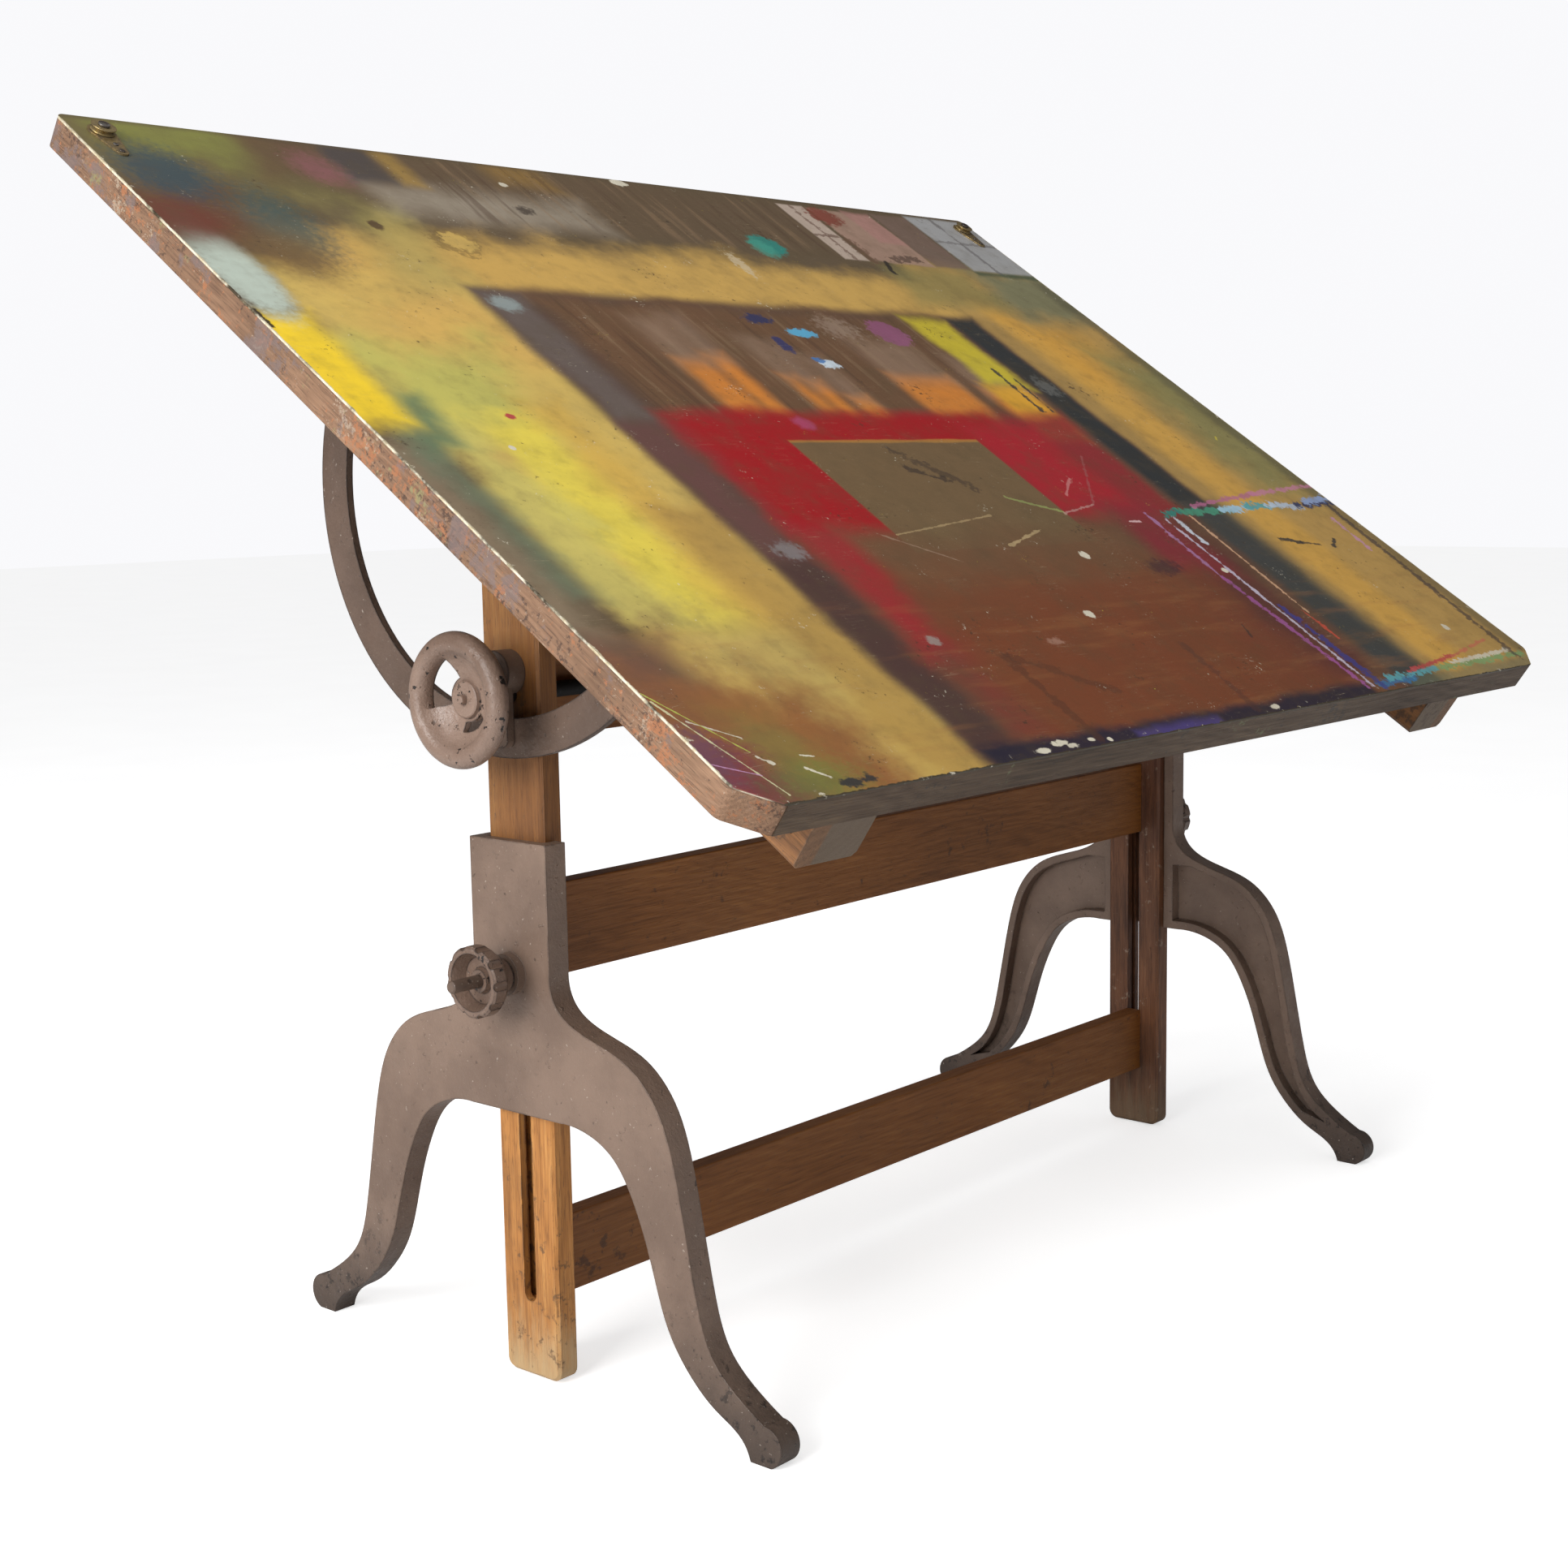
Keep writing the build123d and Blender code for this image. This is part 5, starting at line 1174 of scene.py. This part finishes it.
class Finishes:
    """Every finish of the table, by material slot or by its own name where two share a slot."""

    def __init__(self) -> None:
        """Builds each material once."""
        shared = SharedGroups()
        dust = ((paint(140, 136, 92), 34.0, 0.5), (paint(170, 152, 132), 220.0, 0.5),
                (paint(166, 106, 68), 120.0, 0.66), (paint(64, 46, 38), 160.0, 0.66),
                (paint(116, 100, 96), 26.0, 0.66))
        kinds = {
            "iron_paint": CastPaint("taupe iron paint", paint(132, 110, 95), paint(110, 90, 77),
                                    wear=0.7, dirt_height=0.13),
            "iron_paint_dark": CastPaint("darker iron paint", paint(114, 94, 81), paint(92, 75, 64),
                                         wear=0.8, flaking=0.35),
            "wheel_paint": CastPaint("handled wheel paint", paint(142, 119, 105), paint(112, 91, 78),
                                     wear=0.8, roughness=0.32, grain=1.3, flaking=1.15),
            "quadrant_paint": CastPaint("sooty iron paint", paint(104, 85, 73), paint(84, 68, 58),
                                        wear=0.85, flaking=0.5),
            "bolt_steel": BareMetal("old bolt steel", paint(150, 146, 140), paint(62, 52, 46), 0.75),
            "black_rod": BareMetal("blackened rod", paint(70, 66, 64), paint(22, 20, 20), 0.85, 0.4),
            "post_oak": Timber("post oak", paint(218, 160, 90), paint(180, 120, 58), paint(116, 70, 30),
                               Grain.ALONG_Z, foot=paint(190, 162, 120), arris_wear=0.66, pores=0.8,
                               splashes=((paint(92, 66, 44), 46.0, 0.42),)),
            # Darker copy of post oak for the far post: painted shade of the table over it.
            "post_oak_painted_shade": Timber("post oak with painted shade", paint(150, 100, 64), paint(116, 72, 42),
                                    paint(70, 40, 22), Grain.ALONG_Z, foot=paint(120, 98, 74),
                                    arris=paint(44, 28, 20), arris_wear=0.7, pores=0.8,
                                    upper_shade_and_patina=paint(84, 44, 26), splashes=((paint(150, 128, 108), 60.0, 0.4),)),
            "rail_oak": Timber("rail oak", paint(154, 97, 34), paint(132, 78, 22), paint(106, 60, 14),
                               Grain.ALONG_X, pores=0.5, arris_wear=0.6, grime=0.2, bands=1.8,
                               splashes=((paint(70, 40, 16), 50.0, 0.3),)),
            "board_wood": Timber("board wood", paint(100, 76, 46), paint(76, 55, 32), paint(50, 36, 22),
                                 Grain.ALONG_X, True, 1.4, 0.6, arris_wear=0.6,
                                 splashes=((paint(108, 112, 76), 60.0, 0.3),
                                           (paint(46, 38, 32), 90.0, 0.45))),
            "cleat_wood": Timber("cleat wood", paint(158, 122, 94), paint(132, 100, 76), paint(92, 66, 50),
                                 Grain.ALONG_Y, True, 2.6, 0.8, splashes=dust, roughness=0.7,
                                 grime=0.5),
            "batten_wood": Timber("batten wood", paint(176, 120, 64), paint(132, 86, 44), paint(84, 54, 30),
                                  Grain.ALONG_Y, True, 1.0, 0.6, end_grain=paint(104, 88, 70),
                                  splashes=((paint(70, 50, 34), 60.0, 0.5),)),
            "plate_brass": BareMetal("dull plate brass", paint(170, 146, 100), paint(98, 84, 62), 0.6, 0.4),
            "pulley_brass": BareMetal("pulley brass", paint(182, 160, 112), paint(110, 94, 66), 0.5, 0.34),
        }
        self.by_name = {name: kind.build(shared) for name, kind in kinds.items()}
        self.by_name["painted_cover"] = PaintedCover().build(shared)

    def dress(self, piece: bpy.types.Object, name: str) -> None:
        """Gives a piece one finish all over."""
        piece.data.materials.clear()
        piece.data.materials.append(self.by_name[name])


# ------------------------------------------------------------------ making pieces
COPY_MERGE = 0.00001
COPY_FLAT = 0.6
COPY_SHARP = 30.0
SMOOTH_BELOW = math.radians(40.0)


def deselect() -> None:
    """Leaves object mode with nothing selected."""
    if bpy.context.object is not None and bpy.context.object.mode != "OBJECT":
        bpy.ops.object.mode_set(mode="OBJECT")
    bpy.ops.object.select_all(action="DESELECT")


def pick(obj: bpy.types.Object) -> None:
    """Makes one object the only selected and active one.

    Args:
        obj: The object.
    """
    deselect()
    obj.select_set(True)
    bpy.context.view_layer.objects.active = obj


class Miter(Enum):
    """How a rounding turns the corner where sharp edges meet."""

    ARC = "MITER_ARC"
    SHARP = "MITER_SHARP"


def clean(piece: bpy.types.Object, merge: float, flat: float) -> None:
    """Merges doubled corners and dissolves the seams in flat faces.

    Args:
        piece: The piece.
        merge: Corners nearer than this are merged.
        flat: Seams flatter than this, in degrees, are dissolved.
    """
    pick(piece)
    bpy.ops.object.mode_set(mode="EDIT")
    bpy.ops.mesh.select_all(action="SELECT")
    bpy.ops.mesh.remove_doubles(threshold=merge)
    if piece.data.has_custom_normals:
        bpy.ops.mesh.customdata_custom_splitnormals_clear()
    bpy.ops.mesh.dissolve_limited(angle_limit=math.radians(flat))
    bpy.ops.object.mode_set(mode="OBJECT")


def round_arrises(piece: bpy.types.Object, width: float, steps: int, angle: float,
                  miter: Miter = Miter.ARC) -> None:
    """Rounds the sharp edges of the picked piece and shades it smooth between them.

    Args:
        piece: The piece, already picked.
        width: Width of the rounding.
        steps: Faces across the rounding.
        angle: Edges sharper than this, in degrees, are rounded.
        miter: How the rounding turns corners.
    """
    rounding = piece.modifiers.new("arris", "BEVEL")
    rounding.width = width
    rounding.segments = steps
    rounding.limit_method = "ANGLE"
    rounding.angle_limit = math.radians(angle)
    rounding.miter_outer = miter.value
    bpy.ops.object.modifier_apply(modifier=rounding.name)
    bpy.ops.object.shade_smooth_by_angle(angle=SMOOTH_BELOW)


def carve(piece: bpy.types.Object, cutter: bpy.types.Object, name: str) -> None:
    """Cuts a solid out of a piece and deletes the solid.

    Args:
        piece: The piece that is cut.
        cutter: The solid that is taken away.
        name: What the cut is called.
    """
    pick(piece)
    cut = piece.modifiers.new(name, "BOOLEAN")
    cut.object = cutter
    cut.operation = "DIFFERENCE"
    cut.solver = "EXACT"
    bpy.ops.object.modifier_apply(modifier=cut.name)
    bpy.data.objects.remove(cutter)


class Workshop:
    """Copies, softens and places the table's pieces."""

    def __init__(self, finishes: Finishes) -> None:
        """Notes which body and slot each CAD node has.

        Args:
            finishes: The table's finishes.
        """
        self.finishes = finishes
        self.body = {}
        record = frame["record"]
        for body, nodes in record["behaviour"]["bodies"].items():
            for node in nodes:
                self.body[node] = body
        self.slots = {part["node"]: part["material_slot"] for part in record["subparts"]}

    def soften(self, node: str, width: float, steps: int = 2) -> bpy.types.Object:
        """Makes a copy of a CAD node with rounded arrises that stands for it.

        Args:
            node: The CAD node.
            width: Width of the rounding.
            steps: Faces across the rounding.

        Returns:
            The new piece.
        """
        mesh = frame["nodes"][node].data.copy()
        mesh.name = node + "_soft"
        piece = bpy.data.objects.new(node + "_soft", mesh)
        bpy.context.scene.collection.objects.link(piece)
        clean(piece, COPY_MERGE, COPY_FLAT)
        round_arrises(piece, width, steps, COPY_SHARP)
        evening = piece.modifiers.new("even shading", "WEIGHTED_NORMAL")
        evening.keep_sharp = True
        bpy.ops.object.modifier_apply(modifier=evening.name)
        return self.place(piece, node)

    def place(self, piece: bpy.types.Object, node: str) -> bpy.types.Object:
        """Lets a piece stand for a CAD node, on its body and in its finish.

        Args:
            piece: The piece.
            node: The CAD node.

        Returns:
            The same piece.
        """
        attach(piece, self.body[node])
        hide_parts(node)
        self.finishes.dress(piece, self.slots[node])
        LOG.info("%s stands for %s: %d faces", piece.name, node, len(piece.data.polygons))
        return piece

    def paint_ends(self, piece: bpy.types.Object, name: str, beyond: float) -> None:
        """Gives the faces at a piece's two ends another finish.

        Args:
            piece: The piece, which lies along X.
            name: The other finish.
            beyond: How far from the table's middle the ends start.
        """
        piece.data.materials.append(self.finishes.by_name[name])
        for face in piece.data.polygons:
            if abs(face.center.x) > beyond:
                face.material_index = 1


@dataclass
class Legs:
    """The two iron castings and the clamps that hold the posts in them."""

    shop: Workshop
    leg_round: float = 0.0017
    knob_round: float = 0.0014
    washer_round: float = 0.0004

    def build(self) -> None:
        """Makes legs, bolts, washers and hand nuts."""
        for side in SIDES:
            self.shop.soften(f"leg_{side}", self.leg_round, 3)
            knob = self.shop.soften(f"height_knob_{side}", self.knob_round)
            self.shop.finishes.dress(knob, "wheel_paint")
        bolts = self.shop.soften("height_bolts", self.washer_round)
        self.shop.paint_ends(bolts, "iron_paint_dark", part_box("leg_right")[1].x)
        self.shop.soften("height_washers", self.washer_round)


@dataclass
class SlidingFrame:
    """Posts, rails, the tie rod and the clamp on it."""

    shop: Workshop
    post_round: float = 0.0012
    rail_round: float = 0.0018
    iron_round: float = 0.003
    bracket_round: float = 0.001
    rod_round: float = 0.0006

    def build(self) -> None:
        """Makes the timber frame and its irons."""
        for side in SIDES:
            post = self.shop.soften(f"post_{side}", self.post_round)
            # The far post takes the darker copy of post oak, which is painted shade.
            if side == "right":
                self.shop.finishes.dress(post, "post_oak_painted_shade")
            self.shop.soften(f"clamp_plate_{side}", self.iron_round, 3)
            self.shop.soften(f"pivot_bracket_{side}", self.bracket_round)
        for rail in ("stretcher_lower", "stretcher_upper", "top_rail"):
            self.shop.soften(rail, self.rail_round, 3)
        rod = self.shop.soften("tie_rod", self.rod_round)
        self.shop.paint_ends(rod, "wheel_paint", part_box("clamp_plate_right")[1].x)
        for small in ("rod_nut", "pivot_pins", "bracket_screws"):
            self.shop.soften(small, self.rod_round)


@dataclass(frozen=True)
class Window:
    """An opening in the wheel's web: its angles in degrees and its outer radius."""

    start: float
    end: float
    outer: float


@dataclass
class Wheel:
    """The dished handwheel that tightens the tilt clamp.

    Distances along the axle are counted from the middle of the rim towards the table.
    Outlines are corners as (along the axle, from the axle).
    """

    shop: Workshop
    inside_box: float = 0.0002
    rim_radius: float = 0.011
    rim_start: float = -55.0
    rim_sweep: float = 290.0
    rim_steps: int = 22
    web_back: Outline = ((0.0205, 0.0182), (0.0172, 0.026), (0.0122, 0.036))
    web_front: Outline = ((-0.0008, 0.0432), (0.0048, 0.0366), (0.0092, 0.0284), (0.0114, 0.0212))
    hub_face: float = 0.007
    hub_radius: float = 0.0178
    hub_foot: float = 0.0112
    foot_fillet: Tuple[float, float] = (0.0009, 0.0006)
    hub_chamfer: Tuple[float, float] = (0.001, 0.0012)
    hub_step: float = 0.014
    sleeve_radius: float = 0.015
    sleeve_start: float = 0.026
    tip_bore: float = 0.00455
    rod_bore: float = 0.00805
    window_inner: float = 0.0222
    window_cut: Tuple[float, float] = (-0.012, 0.024)
    windows: Tuple[Window, ...] = (Window(-14.0, 66.0, 0.0438), Window(-146.0, -84.0, 0.0316))
    seed: float = 0.001
    turns: int = 96
    least_turns: int = 6
    merge: float = 0.00002
    flat: float = 0.5
    sharp: float = 34.0
    rounding: float = 0.0011
    rounding_steps: int = 3
    middle: Vector = field(init=False)
    radius: float = field(init=False)
    sleeve_end: float = field(init=False)

    def __post_init__(self) -> None:
        """Takes the wheel's middle, radius and sleeve end from the CAD node's box."""
        low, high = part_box("handwheel")
        self.middle = Vector((low.x + self.rim_radius, (low.y + high.y) / 2, (low.z + high.z) / 2))
        self.radius = (high.z - low.z) / 2 - self.inside_box
        self.sleeve_end = high.x - self.middle.x

    def build(self) -> None:
        """Turns the wheel, cuts its windows and rounds their edges."""
        wheel = self.turn("handwheel_turned", self.profile(), 0.0, 360.0)
        for window in self.windows:
            self.cut(wheel, window)
        clean(wheel, self.merge, self.flat)
        round_arrises(wheel, self.rounding, self.rounding_steps, self.sharp, Miter.SHARP)
        self.shop.place(wheel, "handwheel")

    def profile(self) -> Outline:
        """Draws the half section of sleeve, web, rim and hub.

        Returns:
            The outline, from the sleeve's end round the rim to the hub's bore.
        """
        back = ((self.sleeve_end, self.rod_bore), (self.sleeve_end, self.sleeve_radius),
                (self.sleeve_start, self.sleeve_radius), *self.web_back)
        rim = []
        for step in range(self.rim_steps + 1):
            angle = math.radians(self.rim_start + self.rim_sweep * step / self.rim_steps)
            rim.append((self.rim_radius * math.cos(angle),
                        self.radius - self.rim_radius + self.rim_radius * math.sin(angle)))
        hub = ((self.hub_foot + self.foot_fillet[0], self.hub_radius + self.foot_fillet[1]),
               (self.hub_foot, self.hub_radius), (self.hub_face + self.hub_chamfer[0], self.hub_radius),
               (self.hub_face, self.hub_radius - self.hub_chamfer[1]), (self.hub_face, self.tip_bore),
               (self.hub_step, self.tip_bore), (self.hub_step, self.rod_bore))
        return (*back, *rim, *self.web_front, *hub)

    def turn(self, name: str, outline: Outline, start: float, end: float) -> bpy.types.Object:
        """Spins an outline round the axle.

        Args:
            name: The object's name.
            outline: The half section.
            start: Angle of the first section, in degrees from the back towards the top.
            end: Angle of the last section.

        Returns:
            The turned solid.
        """
        deselect()
        aim = math.radians(start)
        spots = [self.middle + Vector((along, out * math.cos(aim), out * math.sin(aim)))
                 for along, out in outline]
        bpy.ops.mesh.primitive_plane_add(size=self.seed, location=spots[0])
        piece = bpy.context.object
        piece.name = name
        bpy.ops.object.transform_apply(location=True, rotation=True, scale=True)
        bpy.ops.object.mode_set(mode="EDIT")
        bpy.ops.mesh.select_all(action="SELECT")
        bpy.ops.mesh.merge(type="CENTER")
        for here, there in zip(spots, spots[1:]):
            bpy.ops.mesh.extrude_region_move(TRANSFORM_OT_translate={"value": there - here})
        bpy.ops.mesh.select_all(action="SELECT")
        bpy.ops.mesh.edge_face_add()
        whole = end - start >= 360.0
        steps = max(self.least_turns, round(self.turns * (end - start) / 360))
        bpy.ops.mesh.spin(steps=steps, angle=math.radians(start - end), center=self.middle,
                          axis=(1.0, 0.0, 0.0))
        if whole:
            bpy.ops.mesh.select_all(action="SELECT")
            bpy.ops.mesh.remove_doubles(threshold=self.merge)
            self.drop_sections(piece)
        bpy.ops.mesh.select_all(action="SELECT")
        bpy.ops.mesh.normals_make_consistent(inside=False)
        bpy.ops.object.mode_set(mode="OBJECT")
        return piece

    @staticmethod
    def drop_sections(piece: bpy.types.Object) -> None:
        """Deletes the flat sections left inside a whole turn, in edit mode.

        Args:
            piece: The turned piece.
        """
        mesh = bmesh.from_edit_mesh(piece.data)
        for face in mesh.faces:
            face.select_set(len(face.verts) > 4)
        bmesh.update_edit_mesh(piece.data)
        bpy.ops.mesh.delete(type="ONLY_FACE")

    def cut(self, wheel: bpy.types.Object, window: Window) -> None:
        """Cuts one window through the web.

        Args:
            wheel: The turned wheel.
            window: The window's angles and outer radius.
        """
        front, back = self.window_cut
        outline = ((front, self.window_inner), (front, window.outer), (back, window.outer),
                   (back, self.window_inner))
        carve(wheel, self.turn("window_cutter", outline, window.start, window.end), "window")


@dataclass
class Board:
    """Panel, cleats, cover, battens, quadrants and corner pulleys."""

    shop: Workshop
    wood_round: float = 0.0018
    cover_round: float = 0.0007
    batten_round: float = 0.002
    iron_round: float = 0.0014
    panel_round: float = 0.0012
    plate_round: float = 0.0004
    pulley_round: float = 0.0003
    notch_radius: float = 0.017
    notch_depth: float = 0.018
    notch_down_board: float = -0.4933
    notch_under_top: float = -0.002

    def build(self) -> None:
        """Makes the board and all that tilts with it."""
        for side in SIDES:
            self.shop.soften(f"end_cleat_{side}", self.wood_round)
            quadrant = self.shop.soften(f"quadrant_{side}", self.iron_round)
            self.shop.finishes.dress(quadrant, "quadrant_paint")
            batten = self.shop.soften(f"batten_front_{side}", self.batten_round)
            self.notch(batten, side)
            self.shop.soften(f"batten_back_{side}", self.batten_round)
            self.shop.soften(f"pulley_plate_{side}", self.plate_round)
            self.shop.soften(f"pulley_{side}", self.pulley_round)
        self.shop.soften("board_panel", self.panel_round)
        self.shop.soften("board_cover", self.cover_round)
        for small in ("quadrant_screws", "batten_screws", "plate_screws", "pulley_axles"):
            self.shop.soften(small, self.plate_round)

    def notch(self, batten: bpy.types.Object, side: str) -> None:
        """Cuts a three-cornered notch in a front batten's outer face, under the panel.

        Args:
            batten: The batten's piece.
            side: Which end of the table it is at.
        """
        low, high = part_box(f"batten_front_{side}")
        outer = low.x if side == "left" else high.x
        board = Matrix.Translation((0.0, 0.0, PIVOT_Z)) @ Matrix.Rotation(TILT, 4, "X")
        place = board @ Vector((outer, self.notch_down_board, self.notch_under_top))
        turn = Matrix.Rotation(TILT, 3, "X") @ Matrix.Rotation(math.pi / 2, 3, "Y")
        turn = turn @ Matrix.Rotation(-math.pi / 2, 3, "Z")
        deselect()
        bpy.ops.mesh.primitive_cylinder_add(vertices=3, radius=self.notch_radius,
                                            depth=2 * self.notch_depth, location=place,
                                            rotation=turn.to_euler())
        carve(batten, bpy.context.object, "notch")


# ------------------------------------------------------------------ studio
@dataclass(frozen=True)
class Softbox:
    """A square light that faces the table: its place, side and power."""

    name: str
    place: Tuple[float, float, float]
    side: float
    watts: float


@dataclass
class Studio:
    """Floor, light and camera."""

    camera_place: Tuple[float, float, float] = (-2.0603, -1.6263, 0.9053)
    yaw: float = 49.216
    pitch: float = 7.937
    roll: float = -0.971
    lens: float = 51.99
    sensor: float = 36.0
    floor_size: float = 40.0
    floor_gap: float = 0.0004
    floor_lift: float = 0.6
    aim: Tuple[float, float, float] = (0.0, 0.0, 0.7)
    softboxes: Tuple[Softbox, ...] = (
        Softbox("key", (-4.2, -0.3, 2.0), 2.4, 158.0),
        Softbox("overhead", (-0.8, -0.3, 3.9), 3.6, 52.0),
        Softbox("fill", (1.2, -4.4, 1.8), 3.0, 5.0),
    )
    backdrop: Colour = (0.98, 0.98, 1.0)
    seen_light: float = 0.97
    mirrored_light: float = 0.12
    room_light: float = 0.36

    def build(self) -> None:
        """Makes the whole studio."""
        self.add_camera()
        self.add_floor()
        self.add_softboxes()
        self.add_room()

    def add_camera(self) -> None:
        """Sets the camera at a standing viewer's place, by the wheel's end of the table."""
        yaw, pitch, roll = (math.radians(value) for value in (self.yaw, self.pitch, self.roll))
        ahead = Vector((math.sin(yaw) * math.cos(pitch), math.cos(yaw) * math.cos(pitch), -math.sin(pitch)))
        level = Vector((math.cos(yaw), -math.sin(yaw), 0.0))
        rise = level.cross(ahead)
        across = math.cos(roll) * level + math.sin(roll) * rise
        upward = math.cos(roll) * rise - math.sin(roll) * level
        data = bpy.data.cameras.new("camera")
        data.lens = self.lens
        data.sensor_width = self.sensor
        camera = bpy.data.objects.new("camera", data)
        axes = Matrix((across, upward, -ahead)).transposed().to_4x4()
        camera.matrix_world = Matrix.Translation(self.camera_place) @ axes
        bpy.context.scene.collection.objects.link(camera)
        bpy.context.scene.camera = camera

    def add_floor(self) -> None:
        """Lays a plain pale floor."""
        deselect()
        bpy.ops.mesh.primitive_plane_add(size=self.floor_size, location=(0.0, 0.0, -self.floor_gap))
        floor = bpy.context.object
        floor.name = "floor"
        graph, material, shader, coords = new_material("pale floor")
        tone = graph.remap(graph.noise(coords, 3.0, 4.0), 0.3, 0.7)
        graph.plug(shader.inputs["Base Color"], graph.blend(tone, (0.86, 0.86, 0.855), (0.89, 0.89, 0.885)))
        shader.inputs["Roughness"].default_value = 0.95
        shader.inputs["Specular IOR Level"].default_value = 0.0
        lift = graph.add("LightPath").outputs["Is Camera Ray"]
        shader.inputs["Emission Strength"].default_value = self.floor_lift
        graph.plug(shader.inputs["Emission Color"], graph.blend(lift, (0.0, 0.0, 0.0), (1.0, 1.0, 1.0)))
        floor.data.materials.append(material)

    def add_softboxes(self) -> None:
        """Hangs the softboxes round the table."""
        for box in self.softboxes:
            data = bpy.data.lights.new(box.name, "AREA")
            data.shape = "SQUARE"
            data.size = box.side
            data.energy = box.watts
            light = bpy.data.objects.new(box.name, data)
            light.location = box.place
            aim = Vector(self.aim) - Vector(box.place)
            light.rotation_euler = aim.to_track_quat("-Z", "Y").to_euler()
            bpy.context.scene.collection.objects.link(light)

    def add_room(self) -> None:
        """Sets the room's even light, which shows pale behind the table."""
        world = bpy.data.worlds.new("studio")
        world.use_nodes = True
        bpy.context.scene.world = world
        graph = Graph(world.node_tree)
        path = graph.add("LightPath")
        unseen = graph.between(path.outputs["Is Glossy Ray"], self.room_light, self.mirrored_light)
        background = world.node_tree.nodes["Background"]
        graph.plug(background.inputs["Color"], self.backdrop)
        graph.plug(background.inputs["Strength"],
                   graph.between(path.outputs["Is Camera Ray"], unseen, self.seen_light))


def main() -> None:
    """Builds the whole table and its studio."""
    logging.basicConfig(level=logging.INFO, format="%(message)s")
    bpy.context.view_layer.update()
    bpy.context.scene.view_settings.view_transform = "Standard"
    Studio().build()
    shop = Workshop(Finishes())
    for assembly in (Legs(shop), SlidingFrame(shop), Wheel(shop), Board(shop)):
        assembly.build()


if __name__ == "__main__":
    main()
